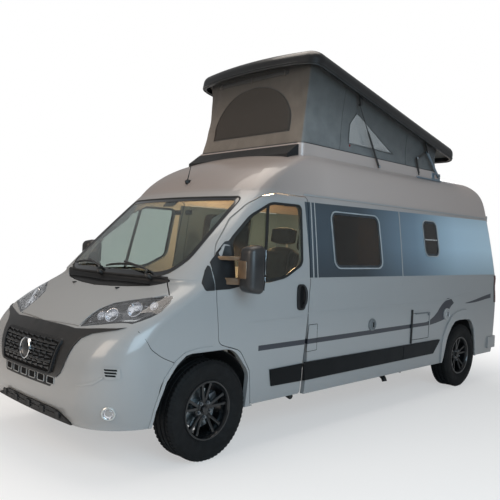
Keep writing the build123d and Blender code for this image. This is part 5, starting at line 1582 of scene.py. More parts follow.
class CAMPER_OT_step_g_tent(bpy.types.Operator):
    """Makes the tent wall with its windows, seams and zips"""

    bl_idname = "camper.step_g_tent"
    bl_label = "Tent"

    def execute(self, context):
        bm = bmesh.new()
        around, up = 380, 34
        bmesh.ops.create_grid(bm, x_segments=around, y_segments=up, size=0.5)
        for v in bm.verts:
            v.co = tent_point(v.co.x + 0.5, min(1, max(0, v.co.y + 0.5)))
        wall = piece("tent_wall", bm, "body", "tent_fabric", closed=False, angle=60)
        skin = wall.modifiers.new("cloth", "SOLIDIFY")
        skin.thickness = 0.0014
        skin.offset = 0
        wall.data.materials.append(finish("tent_front"))
        for face in wall.data.polygons:
            if abs(face.normal.x) > 0.72 and face.center.x > 0:
                face.material_index = 1
        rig.replaces(wall, "tent")
        extras = []

        rows = []
        for step in range(27):
            share = step / 26
            z = 2.705 + 0.50 * share
            reach = 0.535 if share < 0.16 else 0.535 * math.sqrt(max(0.0, 1 - ((share - 0.16) / 0.84) ** 2))
            rows.append((z, 0.005 - max(reach, 0.012), 0.005 + max(reach, 0.012)))
        extras.append(tent_panel("tent_front_window", "front", rows, 0.003, "mesh_fabric"))
        rim = [tent_at("front", high, z, 0.004) for z, low, high in rows]
        rim += [tent_at("front", low, z, 0.004) for z, low, high in reversed(rows)]
        extras.append(tube("tent_front_zip", rim + rim[:1], 0.0032, "body", "tent_dark", smooth=False))
        rows = [(z, -0.545, 0.440) for z in (3.272, 3.280, 3.290, 3.300, 3.308)]
        extras.append(tent_panel("tent_front_flap", "front", rows, 0.006, "tent_dark"))
        for y in (-0.50, -0.05, 0.40):
            rows = [(z, y - 0.012, y + 0.012) for z in (3.258, 3.275, 3.295, 3.316)]
            place = "left" if y > 0.1 else "right" if y < -0.1 else "middle"
            extras.append(tent_panel(f"tent_flap_loop_{place}", "front", rows, 0.0095, "tent_front",
                                     across=4))

        for face in ("left", "right"):
            rows = []
            for step in range(15):
                share = step / 14
                z = 2.668 + 0.322 * share
                front = 2.925 + (0.0 if share < 0.6 else 0.10 * (share - 0.6) / 0.4)
                rear = 3.750 - 0.705 * share
                rows.append((z, front, rear))
            extras.append(tent_panel(f"tent_window_{face}", face, rows, 0.003, "tent_window"))
            rim = [tent_at(face, high, z, 0.004) for z, low, high in rows]
            rim += [tent_at(face, low, z, 0.004) for z, low, high in reversed(rows)]
            extras.append(tube(f"tent_window_welt_{face}", rim + rim[:1], 0.0036, "body", "tent_dark",
                               smooth=False))
            seam = [tent_at(face, 2.795, 2.585 + 0.62 * step / 12, 0.001) for step in range(13)]
            extras.append(tube(f"tent_seam_front_{face}", seam, 0.0018, "body", "tent_dark", smooth=False))
            seam = [tent_at(face, 4.02, 2.585 + 0.34 * step / 8, 0.001) for step in range(9)]
            extras.append(tube(f"tent_seam_rear_{face}", seam, 0.0018, "body", "tent_dark", smooth=False))
            bm = bmesh.new()
            outward = tent_spot(way_at(face, 2.955), height_at(face, 2.955, 2.648))[1]
            here = tent_at(face, 2.955, 2.648, 0.001)
            lathe(bm, [(0, 0.004), (0.010, 0.0035), (0.013, 0.001), (0.013, -0.001)], here, outward, 20)
            extras.append(piece(f"tent_pull_{face}", bm, "body", "lamp_red", closed=False))

        hem = [tent_spot(step / 96, 0.0)[0] + tent_spot(step / 96, 0.0)[1] * 0.003 + Vector((0, 0, 0.006))
               for step in range(97)]
        extras.append(tube("tent_hem", hem, 0.0045, "body", "tent_dark", smooth=False))
        around_m = sum((tent_spot(i / 200, 0)[0] - tent_spot((i + 1) / 200, 0)[0]).length for i in range(200))
        cloth = sum(p.area for p in wall.data.polygons)
        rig.sheet(wall, flat=(round(around_m, 2), 0.83), held="stretched",
                 rests_on=["popup_frame", "pop_roof"],
                 area=round(cloth, 2), with_pieces=extras)
        for obj in [wall] + extras:
            folds_with_roof(obj)
        return {"FINISHED"}


class CAMPER_OT_step_h_roof(bpy.types.Operator):
    """Makes the roof shell's seal, edge line and lining, the pivots, the arm plates and the aerial"""

    bl_idname = "camper.step_h_roof"
    bl_label = "Roof details"

    def execute(self, context):
        rim = [on_roof(along, side, 0.001) for along, side in roof_outline(0.010)]
        tube("roof_seal", rim + rim[:1], 0.0075, "pop_roof", "roof_edge", smooth=False)
        rim = [on_roof(along, side, 0.016) for along, side in roof_outline(-0.0012)]
        tube("roof_edge_line", rim + rim[:1], 0.0026, "pop_roof", "roof_edge", smooth=False)
        bm = bmesh.new()
        rings = []
        for inset, depth in ((0.048, 0.050), (0.060, 0.062), (0.100, 0.070)):
            rings.append([bm.verts.new(on_roof(along, side, depth)) for along, side in roof_outline(inset)])
        for outer, inner in zip(rings, rings[1:]):
            for i in range(len(outer)):
                j = (i + 1) % len(outer)
                bm.faces.new((outer[i], outer[j], inner[j], inner[i]))
        bm.faces.new(rings[-1])
        piece("roof_lining", bm, "pop_roof", "tent_lining", closed=False)

        for side, tag in SIDES:
            for name, body, station, z, depth in (
                ("arm_base", "body", 4.700, 2.513, 0.779), ("arm_top", "lift_arms", 4.416, 2.774, 0.779),
                ("strut_base", "body", 3.430, 2.487, 0.777), ("link_front", "link_bars", 4.217, 2.679, 0.764),
            ):
                laid(lathe, f"pivot_{name}_{tag}", ([(0, 0.009), (0.006, 0.009), (0.009, 0.006),
                     (0.011, 0.004), (0.016, 0.003), (0.016, 0.0)],
                     Vector((NOSE - station, side * depth, z)), (0, side, 0), 24), body, "steel",
                     closed=False)
            bm = bmesh.new()
            low, high = sorted((side * 0.7385, side * 0.7425))
            block(bm, (NOSE - 4.800, low, 2.470), (NOSE - 4.600, high, 2.556), 0.0015)
            ends = sorted((low, side * 0.760), key=abs)
            block(bm, (NOSE - 4.800, min(ends), 2.462), (NOSE - 4.250, max(ends), 2.476), 0.0015)
            piece(f"arm_plate_{tag}", bm, "body", "arm_metal")
            bm = bmesh.new()
            for station in (4.79, 4.61):
                lathe(bm, [(0, 0.004), (0.005, 0.004), (0.007, 0.001), (0.007, 0)],
                      Vector((NOSE - station, side * 0.7425, 2.53)), (0, side, 0), 16)
            piece(f"arm_plate_bolts_{tag}", bm, "body", "steel", closed=False)

        foot, facing = skin_at(at(1492, 0, 2180), (0, 0, 1))
        bm = bmesh.new()
        lathe(bm, [(0, 0.026), (0.010, 0.025), (0.017, 0.019), (0.022, 0.010), (0.026, 0.001),
                   (0.026, -0.004)],
              foot, facing, 28)
        bmesh.ops.scale(bm, vec=(1.7, 0.8, 1), verts=bm.verts[:], space=Matrix.Translation(-foot))
        piece("aerial_foot", bm, "body", "black_plastic", closed=False)
        lean = Vector((-0.045, 0, 0.175))
        laid(lathe, "aerial_whip", ([(0.0065, 0.0), (0.0055, 0.02), (0.0042, 0.05), (0.0034, 0.12),
             (0.0042, 0.172), (0.0042, 0.180), (0, 0.182)], foot + facing * 0.020, lean, 16), "body",
             "rubber", closed=False)
        return {"FINISHED"}


# ---------------------------------------------------------------- rear
REAR_WINDOWS = [(120, 1300), (120, 1960), (700, 1960), (700, 1300)]


def rear_points(side, points):
    return [(side * y, z) for y, z in points]


class CAMPER_OT_step_i_rear(bpy.types.Operator):
    """Makes the rear doors' hinges, handle, window edges and lamps, and the step on the bumper"""

    bl_idname = "camper.step_i_rear"
    bl_label = "Rear details"

    def execute(self, context):
        back = Vector((-1, 0, 0))
        for side, tag in SIDES:
            body = f"rear_door_{tag}"
            outline = rear_points(side, REAR_WINDOWS)
            laid(on_rear, f"rear_window_rubber_{tag}", (grow(outline, 8), 0.0008, 0.0022, 0.066, 0.06,
                 0.012), body, "rubber", bevel=0.001)
            laid(on_rear, f"rear_window_frit_{tag}", (outline, 0.0004, 0.0014, 0.058, 0.06, 0.030), body,
                 "frit")
            bm = bmesh.new()
            on_rear(bm, rear_points(side, [(100, 640), (100, 1230), (745, 1230), (745, 640)]), 0.0002, 0.0022,
                    0.05, 0.06, ring=0.010)
            piece(f"rear_panel_crease_{tag}", bm, body, "trim_paint", bevel=0.001)
            for number, z in enumerate((720, 2070), 1):
                spot = skin_at(at(5900, side * 812, z), back)[0]
                bm = bmesh.new()
                lathe(bm, [(0, -0.052), (0.0085, -0.052), (0.0105, -0.048), (0.0105, 0.048), (0.0085, 0.052),
                           (0, 0.052)], spot + back * 0.012, (0, 0, 1), 24)
                low, high = sorted((side * 0.820, side * 0.868))
                block(bm, (spot.x - 0.010, low, spot.z - 0.040), (spot.x + 0.004, high, spot.z + 0.040),
                      0.003)
                piece(f"rear_hinge_{tag}_{number}", bm, "body", "trim_paint")
                bm = bmesh.new()
                low, high = sorted((side * 0.690, side * 0.788))
                leaf = skin_at(at(5900, side * 740, z), back)[0]
                block(bm, (leaf.x - 0.009, low, leaf.z - 0.032), (leaf.x + 0.004, high, leaf.z + 0.032),
                      0.003)
                piece(f"rear_strap_{tag}_{number}", bm, body, "trim_paint")

        laid(on_rear, "rear_middle_seal", ([(6, 560), (6, 2226), (-1, 2226), (-1, 560)], 0.0006, 0.003, 0,
             0.10), "rear_door_left", "rubber")
        laid(on_rear, "rear_handle_plate", ([(52, 1120), (52, 1268), (112, 1268), (112, 1120)], 0.0005,
             0.007, 0.016, 0.03), "rear_door_left", "satin_black", bevel=0.002)
        spot = skin_at(at(5900, 82, 1195), back)[0]
        bm = bmesh.new()
        block(bm, spot + Vector((-0.034, -0.012, -0.055)), spot + Vector((-0.020, 0.012, 0.055)), 0.006)
        for z in (-0.048, 0.048):
            block(bm, spot + Vector((-0.024, -0.009, z - 0.007)), spot + Vector((-0.004, 0.009, z + 0.007)),
                  0.002)
        piece("rear_handle", bm, "rear_door_left", "satin_black")
        laid(on_rear, "high_brake_lamp", ([(-190, 2262), (-190, 2296), (190, 2296), (190, 2262)], 0.0008,
             0.010, 0.010, 0.04), "body", "lamp_red", bevel=0.003)
        laid(on_rear, "high_brake_lamp_edge", ([(-202, 2254), (-202, 2304), (202, 2304), (202, 2254)],
             0.0005, 0.006, 0.014, 0.04, 0.011), "body", "satin_black", bevel=0.0015)

        low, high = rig.box("bumper_rear")
        bm = bmesh.new()
        for row in range(9):
            x = low[0] + 0.022 + row * 0.011
            block(bm, (x, -0.62, high[2] - 0.0010), (x + 0.0055, 0.62, high[2] + 0.0022), 0.0008)
        piece("rear_step_tread", bm, "body", "black_plastic")
        for side, tag in SIDES:
            bm = bmesh.new()
            spread = sorted((side * 0.56, side * 0.70))
            block(bm, (low[0] - 0.004, spread[0], low[2] + 0.060),
                  (low[0] + 0.010, spread[1], low[2] + 0.098), 0.004)
            piece(f"rear_reflector_{tag}", bm, "body", "lamp_red")
        bm = bmesh.new()
        for y in (-0.60, -0.22, 0.22, 0.60):
            lathe(bm, [(0, 0.004), (0.008, 0.0035), (0.0105, 0.001), (0.0105, -0.004)],
                  Vector((low[0] + 0.001, y, low[2] + 0.128)), (-1, 0, 0), 20)
        piece("rear_sensors", bm, "body", "satin_black", closed=False)
        return {"FINISHED"}


# ---------------------------------------------------------------- cabin
def soft_form(size, crown=0.30, pull=0.10, cuts=6):
    """A crowned closed cushion of a size about the origin, its sides drawn in between its corners."""
    bm = bmesh.new()
    bmesh.ops.create_cube(bm, size=2)
    bmesh.ops.subdivide_edges(bm, edges=bm.edges[:], cuts=cuts, use_grid_fill=True)
    for v in bm.verts:
        x, y, z = v.co
        lean_x, lean_y = 1 - pull * (1 - y * y) * abs(z) ** 0.5, 1 - pull * (1 - x * x) * abs(z) ** 0.5
        dome = 1 - crown * (1 - (1 - min(1, abs(x)) ** 2.6) * (1 - min(1, abs(y)) ** 2.6))
        v.co = Vector((x * lean_x * size[0] / 2, y * lean_y * size[1] / 2, z * dome * size[2] / 2))
    return bm


def puffed(obj, pressure=4.0, cap=0.008):
    """Remeshes a cushion and inflates it with the cloth solver, then keeps the shape."""
    start = obj.modifiers.new("remesh", "REMESH")
    start.mode = "VOXEL"
    start.voxel_size = 0.012
    settle(obj)
    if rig.quick():
        return
    before = [v.co.copy() for v in obj.data.vertices]
    cloth = obj.modifiers.new("cloth", "CLOTH")
    cloth.settings.use_pressure = True
    cloth.settings.uniform_pressure_force = pressure
    cloth.settings.effector_weights.gravity = 0
    cloth.settings.quality = 5
    cloth.point_cache.frame_start = 1
    cloth.point_cache.frame_end = 20
    scene = bpy.context.scene
    for number in range(1, 16):
        scene.frame_set(number)
    shape = obj.evaluated_get(bpy.context.evaluated_depsgraph_get()).to_mesh()
    after = [v.co.copy() for v in shape.vertices]
    obj.to_mesh_clear()
    obj.modifiers.remove(cloth)
    scene.frame_set(1)
    for v, old, new in zip(obj.data.vertices, before, after):
        move = new - old
        if move.length > cap:
            move *= cap / move.length
        v.co = old + move


def settle(obj):
    """Applies an object's modifiers to its mesh."""
    bpy.context.view_layer.update()
    shape = bpy.data.meshes.new_from_object(obj.evaluated_get(bpy.context.evaluated_depsgraph_get()))
    old = obj.data
    obj.modifiers.clear()
    obj.data = shape
    bpy.data.meshes.remove(old)


def channels(obj, axis, spots, depth, width, facing):
    """Presses sewn channels into a cushion across an axis."""
    for v in obj.data.vertices:
        value = v.co[axis]
        press = sum(math.exp(-((value - spot) / width) ** 2) for spot in spots)
        if press > 0.01:
            side = v.normal.dot(facing)
            if side > 0.3:
                v.co -= facing * depth * press * side


def cushion(name, size, key, place, crown=0.30, pull=0.05, seams=(), seam_axis=1, facing=(0, 0, 1), fill=0.7,
            simulate=True):
    """A padded cushion: modelled about the origin, inflated, seamed, then set in place by a matrix."""
    bm = soft_form(size, crown, pull)
    mesh = bpy.data.meshes.new(name)
    bm.to_mesh(mesh)
    bm.free()
    obj = bpy.data.objects.new(name, mesh)
    bpy.context.scene.collection.objects.link(obj)
    if simulate:
        puffed(obj)
    else:
        round_off = obj.modifiers.new("round", "SUBSURF")
        round_off.levels = round_off.render_levels = 2
        settle(obj)
    obj.data.update()
    if seams:
        channels(obj, seam_axis, seams, 0.010, 0.007, Vector(facing))
    obj.data.transform(place)
    for polygon in obj.data.polygons:
        polygon.use_smooth = True
    obj.data.materials.clear()
    obj.data.materials.append(finish(key))
    finer = obj.modifiers.new("finer", "SUBSURF")
    finer.levels = finer.render_levels = 1
    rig.ride(obj, "body")
    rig.slot(obj, SLOT_OF.get(key, key))
    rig.padded(obj, fill)
    return obj


def seat_frame(station, y, z, lean=0.0):
    """A place and a lean backwards, in degrees, as a matrix."""
    return Matrix.Translation(at(station, y, z)) @ Matrix.Rotation(math.radians(-lean), 4, "Y")


class CAMPER_OT_step_j_seats(bpy.types.Operator):
    """Makes the cab seats, the bench and the bed"""

    bl_idname = "camper.step_j_seats"
    bl_label = "Seats and bed"

    def execute(self, context):
        stands = []
        first = {}
        for side, tag in SIDES:
            y = side * 480
            for part, size, place, seams in (
                ("cushion", (0.50, 0.49, 0.125), seat_frame(1905, y, 938, -3), (-0.16, 0.16)),
                ("back", (0.112, 0.46, 0.600), seat_frame(2208, y, 1322, 13), (-0.15, 0.15)),
                ("headrest", (0.088, 0.255, 0.165), seat_frame(2290, y, 1710, 9), ()),
            ):
                name = f"cab_seat_{part}_{tag}"
                if part in first:
                    obj = bpy.data.objects.new(name, first[part].data.copy())
                    context.scene.collection.objects.link(obj)
                    obj.data.transform(Matrix.Translation((0, -0.96, 0)))
                    finer = obj.modifiers.new("finer", "SUBSURF")
                    finer.levels = finer.render_levels = 1
                    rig.ride(obj, "body")
                    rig.slot(obj, "seat_fabric")
                    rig.padded(obj, 0.75)
                else:
                    facing = (0, 0, 1) if part == "cushion" else (1, 0, 0)
                    obj = cushion(name, size, "seat_fabric", place, 0.22, 0.04, seams, 1, facing, 0.75,
                                  simulate=part != "headrest")
                    first[part] = obj
                stands.append(obj)
            bm = bmesh.new()
            low, high = at(2135, y - 178, 606), at(1715, y + 178, 700)
            block(bm, low, high, 0.012)
            block(bm, at(2120, y - 150, 700), at(1730, y + 150, 872), 0.02)
            stands.append(piece(f"cab_seat_stand_{tag}", bm, "body", "dash_plastic"))
            bm = bmesh.new()
            for offset in (-0.055, 0.055):
                lathe(bm, [(0.006, -0.05), (0.006, 0.05)], at(2268, y + offset * 1000, 1628), (-0.16, 0, 1),
                      12)
            stands.append(piece(f"cab_seat_posts_{tag}", bm, "body", "steel", closed=False))
            bm = bmesh.new()
            block(bm, at(2170, y - side * 262 - 14, 1120), at(1880, y - side * 262 + 14, 1160), 0.012)
            stands.append(piece(f"cab_seat_armrest_{tag}", bm, "body", "seat_fabric"))
        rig.replaces(stands[0], "cab_seats")

        rest = []
        rest.append(cushion("bench_cushion", (0.37, 0.51, 0.12), "bench_fabric",
                            seat_frame(2695, 655, 978), 0.2,
                            0.03, (-0.085, 0.085), 1, (0, 0, 1), 0.7, simulate=False))
        rest.append(cushion("bench_back", (0.085, 0.51, 0.44), "bench_fabric",
                            seat_frame(2452, 655, 1292, -2), 0.2,
                            0.03, (-0.085, 0.085), 1, (-1, 0, 0), 0.7, simulate=False))
        bm = bmesh.new()
        block(bm, at(2895, 395, 604), at(2485, 925, 912), 0.008)
        block(bm, at(2474, 395, 604), at(2404, 925, 1060), 0.008)
        rest.append(piece("bench_box", bm, "body", "wood"))
        for number, (low_y, high_y) in enumerate(((-870, -296), (-288, 288), (296, 870)), 1):
            wide = (high_y - low_y) / 1000
            rest.append(cushion(f"bed_mattress_{number}", (1.36, wide, 0.112), "bed_fabric",
                                seat_frame(5040, (low_y + high_y) / 2, 1192),
                                0.16, 0.015, (), 1, (0, 0, 1), 0.8, simulate=False))
        bm = bmesh.new()
        block(bm, at(5760, -880, 1122), at(4335, 880, 1134), 0.003)
        rest.append(piece("bed_board", bm, "body", "wood"))
        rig.replaces(rest[0], "bench_and_bed")
        return {"FINISHED"}


class CAMPER_OT_step_k_cabin(bpy.types.Operator):
    """Makes the dashboard's screens, knobs and vents, the cupboards' fronts, the kitchen's top and sink, and the
    ceiling lamps
    """

    bl_idname = "camper.step_k_cabin"
    bl_label = "Cabin details"

    def execute(self, context):
        lean = Matrix.Rotation(math.radians(-14), 4, "Y")
        for name, y, z, half, tall, key in (
            ("instrument_hood", 480, 1300, 165, 78, "dash_plastic"),
            ("centre_screen", 20, 1235, 118, 74, "screen"),
        ):
            bm = bmesh.new()
            middle = at(1352, y, z)
            block(bm, middle - Vector((0.012, half / 1000, tall / 1000)), middle + Vector((0.004, half / 1000,
                  tall / 1000)), 0.006, lean, middle)
            piece(name, bm, "body", key)
        bm = bmesh.new()
        for z in (1150, 1120):
            for y in (-40, 0, 40):
                lathe(bm, [(0, -0.012), (0.010, -0.012), (0.013, -0.008), (0.014, 0.0)], at(1404, y, z),
                      (1, 0, 0.1), 18)
        piece("dash_knobs", bm, "body", "satin_black", closed=False)
        for number, y in enumerate((860, 160, -160, -860), 1):
            bm = bmesh.new()
            for row in range(5):
                z = 1182 + row * 13
                block(bm, at(1392, y - 42, z), at(1380, y + 42, z + 5), 0.001)
            piece(f"dash_vent_{number}", bm, "body", "satin_black")

        fronts = bmesh.new()
        handles = bmesh.new()
        for side in (1, -1):
            for start in (4340, 4800, 5260):
                inner = side * 518
                low, high = sorted((inner, inner - side * 6))
                block(fronts, at(start + 440, low, 1912), at(start, high, 2268), 0.004)
                low, high = sorted((inner - side * 6, inner - side * 16))
                block(handles, at(start + 280, low, 1935), at(start + 160, high, 1947), 0.003)
        for start, end, low_z, high_z in ((3332, 3780, 640, 1440), (3790, 4240, 640, 1020),
                                          (3790, 4240, 1030, 1440)):
            block(fronts, at(end, -430, low_z), at(start, -423, high_z), 0.004)
            block(handles, at(end - 60, -423, high_z - 60), at(end - 200, -412, high_z - 48), 0.003)
        block(fronts, at(4230, 371, 640), at(3670, 379, 2270), 0.004)
        block(handles, at(3720, 360, 1300), at(3700, 371, 1420), 0.003)
        piece("cupboard_fronts", fronts, "body", "wood_front")
        piece("cupboard_handles", handles, "body", "steel")
        laid(block, "kitchen_worktop", (at(4252, -930, 1481), at(3318, -428, 1497), 0.003), "body",
             "wood_dark")
        bm = bmesh.new()
        lathe(bm, [(0.0, -0.006), (0.15, -0.006), (0.165, 0.004), (0.19, 0.0055), (0.195, 0.001)],
              at(3560, -660, 1498), (0, 0, 1), 40)
        lathe(bm, [(0.020, 0.0), (0.020, 0.012), (0.009, 0.02), (0.009, 0.20), (0.0, 0.203)],
              at(3780, -800, 1498), (0, 0, 1), 20)
        piece("kitchen_sink", bm, "body", "steel", closed=False)
        bm = bmesh.new()
        for s in (2700, 3300, 3900):
            lathe(bm, [(0, 0.006), (0.030, 0.005), (0.036, 0.0), (0.036, -0.004)], at(s, -560, 2338),
                  (0, 0, -1), 24)
        piece("ceiling_lamps", bm, "body", "warm_light", closed=False)
        return {"FINISHED"}


# ---------------------------------------------------------------- finishes by table
PLAIN = {  # base: colour, roughness, metal; grain: noise, depth, strength; wear: noise, least and most rough
    "black_plastic": {
        "base": (tint(20, 21, 22), 0.55),
        "more": {"Specular_IOR_Level": 0.45},
        "grain": ((900, 4), 0.0004, 0.5),
        "tones": ((6, 3), (0.3, tint(17, 18, 20)), (0.7, tint(24, 25, 27))),
        "wear": ((9, 4), 0.46, 0.62),
    },
    "gloss_black": {
        "base": (tint(14, 14, 16), 0.25),
        "more": {"Coat_Weight": 0.4, "Coat_Roughness": 0.08},
        "grain": ((60, 3), 0.0005, 0.3),
        "tones": ((3, 4), (0.3, tint(12, 12, 13)), (0.75, tint(20, 21, 22))),
        "wear": ((4, 5), 0.22, 0.40),
    },
    "lamp_plastic": {
        "base": ((0.92, 0.94, 0.96, 1), 0.03),
        "more": {"IOR": 1.35, "Transmission_Weight": 1.0},
        "grain": ((30, 2), 0.0004, 0.15),
    },
    "glass": {
        "base": ((0.62, 0.68, 0.64, 1), 0.0),
        "more": {"IOR": 1.10, "Transmission_Weight": 1.0, "Coat_Weight": 0.45, "Coat_Roughness": 0.01},
        "grain": ((2, 2), 0.0015, 0.08),
    },
    "dark_glass": {
        "base": ((0.10, 0.105, 0.10, 1), 0.0),
        "more": {"IOR": 1.12, "Transmission_Weight": 1.0, "Coat_Weight": 1.0, "Coat_Roughness": 0.01},
        "grain": ((2, 2), 0.0015, 0.08),
    },
    "windscreen_glass": {
        "base": ((0.42, 0.48, 0.46, 1), 0.0),
        "more": {"IOR": 1.12, "Transmission_Weight": 1.0, "Coat_Weight": 0.9, "Coat_Roughness": 0.01},
        "grain": ((2, 2), 0.0015, 0.08),
    },
    "steel": {
        "base": (tint(150, 154, 158), 0.35, 1.0),
        "grain": ((40, 4, (1, 1, 12)), 0.0002, 0.4),
        "wear": ((12, 4), 0.28, 0.5),
    },
    "iron": {
        "base": (tint(40, 41, 43), 0.62, 0.6),
        "grain": ((70, 5), 0.0008, 0.6),
        "tones": ((14, 5), (0.3, tint(32, 33, 35)), (0.8, tint(64, 62, 60))),
    },
    "arm_metal": {
        "base": (tint(150, 168, 182), 0.32, 0.9),
        "grain": ((30, 3, (1, 1, 8)), 0.0002, 0.4),
        "wear": ((20, 3), 0.25, 0.42),
    },
    "wheel_black": {
        "base": (tint(18, 20, 22), 0.28, 0.35),
        "more": {"Coat_Weight": 0.6, "Coat_Roughness": 0.06},
        "grain": ((500, 2), 0.0001, 0.4),
        "wear": ((18, 4), 0.22, 0.38),
    },
    "dash_plastic": {
        "base": (tint(30, 31, 34), 0.68),
        "grain": ((600, 5), 0.0006, 0.6),
        "tones": ((4, 3), (0.3, tint(26, 27, 30)), (0.7, tint(38, 38, 41))),
    },
    "satin_black": {
        "base": (tint(32, 30, 30), 0.34),
        "more": {"Coat_Weight": 0.25, "Coat_Roughness": 0.12},
        "grain": ((700, 3), 0.0002, 0.4),
        "tones": ((5, 3), (0.3, tint(27, 27, 26)), (0.7, tint(39, 37, 36))),
        "wear": ((8, 3), 0.28, 0.42),
    },
    # near-black, for painted shade in openings and recesses
    "grille_dark": {
        "base": (tint(10, 10, 11), 0.8),
        "more": {"Specular_IOR_Level": 0.2},
        "grain": ((300, 2), 0.0004, 0.3),
        "tones": ((40, 3), (0.3, tint(7, 7, 8)), (0.7, tint(15, 15, 16))),
    },
    "grille_mesh": {
        "base": (tint(42, 43, 45), 0.3, 0.3),
        "more": {"Coat_Weight": 0.3},
        "grain": ((500, 2), 0.0002, 0.3),
        "tones": ((60, 3), (0.3, tint(35, 37, 38)), (0.7, tint(58, 59, 61))),
    },
    "badge_dark": {
        "base": (tint(37, 37, 38), 0.3, 0.5),
        "more": {"Coat_Weight": 0.5},
        "grain": ((600, 2), 0.0001, 0.3),
        "tones": ((30, 2), (0.3, tint(32, 32, 33)), (0.7, tint(45, 45, 46))),
    },
    "chrome": {
        "base": (tint(206, 208, 210), 0.12, 1.0),
        "grain": ((60, 2), 0.0001, 0.2),
        "wear": ((40, 3), 0.07, 0.18),
    },
    "lens": {
        "base": ((0.97, 0.98, 1.0, 1), 0.0),
        "more": {"IOR": 1.08, "Transmission_Weight": 1.0, "Coat_Weight": 1.0, "Coat_Roughness": 0.02},
        "grain": ((14, 2), 0.0004, 0.1),
    },
    "lamp_dark": {
        "base": (tint(21, 22, 24), 0.3),
        "more": {"Coat_Weight": 0.3},
        "grain": ((500, 2), 0.0002, 0.3),
        "tones": ((12, 3), (0.3, tint(16, 17, 19)), (0.7, tint(32, 34, 38))),
    },
    "rubber": {
        "base": (tint(18, 19, 20), 0.62),
        "grain": ((500, 3), 0.0003, 0.4),
        "tones": ((12, 3), (0.3, tint(15, 16, 16)), (0.7, tint(25, 26, 26))),
    },
    "frit": {
        "base": (tint(18, 19, 20), 0.08),
        "more": {"Coat_Weight": 1.0, "Coat_Roughness": 0.02},
        "grain": ((3, 2), 0.001, 0.08),
        "tones": ((60, 2), (0.3, tint(15, 16, 17)), (0.7, tint(24, 25, 26))),
    },
    "seal_grey": {
        "base": (tint(44, 50, 55), 0.5),
        "grain": ((500, 3), 0.0003, 0.4),
        "tones": ((12, 3), (0.3, tint(38, 44, 49)), (0.7, tint(56, 62, 67))),
    },
    "window_frame": {
        "base": (tint(148, 156, 160), 0.38),
        "grain": ((700, 2), 0.0002, 0.3),
        "tones": ((6, 3), (0.3, tint(138, 146, 150)), (0.7, tint(162, 168, 171))),
    },
    "clear_trim": {
        "base": (tint(190, 192, 190), 0.25, 0.4),
        "more": {"Coat_Weight": 0.6},
        "grain": ((90, 2), 0.0002, 0.3),
        "wear": ((30, 3), 0.18, 0.34),
    },
    "grey_plastic": {
        "base": (tint(104, 108, 110), 0.5),
        "grain": ((700, 3), 0.0003, 0.4),
        "tones": ((6, 3), (0.3, tint(96, 100, 102)), (0.7, tint(114, 118, 120))),
    },
    "mirror_silver": {
        "base": (tint(200, 206, 210), 0.02, 1.0),
        "grain": ((3, 2), 0.0003, 0.05),
    },
    "warm_light": {
        "base": (tint(255, 214, 150), 0.5),
        "more": {"Emission_Color": tint(255, 206, 140), "Emission_Strength": 1.6},
        "grain": ((90, 2), 0.0002, 0.2),
    },
    "tent_window": {
        "base": ((0.72, 0.74, 0.74, 1), 0.06),
        "more": {"IOR": 1.1, "Transmission_Weight": 0.75, "Coat_Weight": 1.0, "Coat_Roughness": 0.03},
        "grain": ((7, 3, (1, 1, 0.4)), 0.02, 0.5),
    },
    "roof_edge": {
        "base": (tint(46, 48, 49), 0.5),
        "grain": ((600, 2), 0.0002, 0.3),
        "tones": ((14, 3), (0.3, tint(40, 42, 42)), (0.7, tint(59, 61, 61))),
    },
    "screen": {
        "base": (tint(12, 13, 15), 0.05),
        "more": {"Coat_Weight": 1.0, "Coat_Roughness": 0.02},
        "grain": ((3, 2), 0.0004, 0.08),
        "tones": ((25, 2), (0.3, tint(10, 11, 12)), (0.7, tint(17, 18, 20))),
    },
    "mirror_shell": {
        "base": (tint(34, 34, 35), 0.42),
        "more": {"Coat_Weight": 0.15},
        "grain": ((900, 3), 0.0003, 0.4),
        "tones": ((9, 3), (0.3, tint(28, 28, 29)), (0.7, tint(46, 45, 45))),
    },
    "mirror_bronze": {
        "base": (tint(104, 82, 60), 0.38, 0.2),
        "more": {"Coat_Weight": 0.3},
        "grain": ((900, 3), 0.0002, 0.3),
        "tones": ((9, 3), (0.3, tint(84, 66, 48)), (0.7, tint(122, 97, 72))),
    },
    "alloy": {
        "base": (tint(120, 124, 128), 0.36, 0.9),
        "grain": ((200, 3), 0.0002, 0.4),
        "wear": ((60, 3), 0.28, 0.46),
    },
    "brake_steel": {
        "base": (tint(150, 158, 162), 0.30, 1.0),
        "grain": ((160, 3), 0.0002, 0.4),
        "wear": ((60, 3), 0.22, 0.42),
    },
}


MAKERS = {
    "body_paint": make_paint,
    "lamp_red": make_lamp_red,
    "seat_fabric": make_seat_fabric,
    "bench_fabric": make_bench_fabric,
    "bed_fabric": make_bed_fabric,
    "tent_fabric": make_tent_fabric,
    "wood": make_wood,
    "floor_board": make_floor_board,
    "tyre": make_rubber_tyre,
    "reflector": make_reflector,
    "amber": make_amber,
    "trim_paint": make_trim_paint,
    "cladding": make_cladding,
    "wood_dark": make_wood_dark,
    "tent_front": make_tent_front,
    "mesh_fabric": make_mesh_fabric,
    "tent_dark": make_tent_dark,
    "tent_lining": make_tent_lining,
    "wood_front": make_wood_front,
}


# ---------------------------------------------------------------- settings, stage and panel
VIEW_TURN = (-134.897, -0.413, 2.099)  # yaw, pitch and roll in degrees
VIEW_PLACE = (5.031, 4.368, 1.606)
VIEW_LENS = 43.68


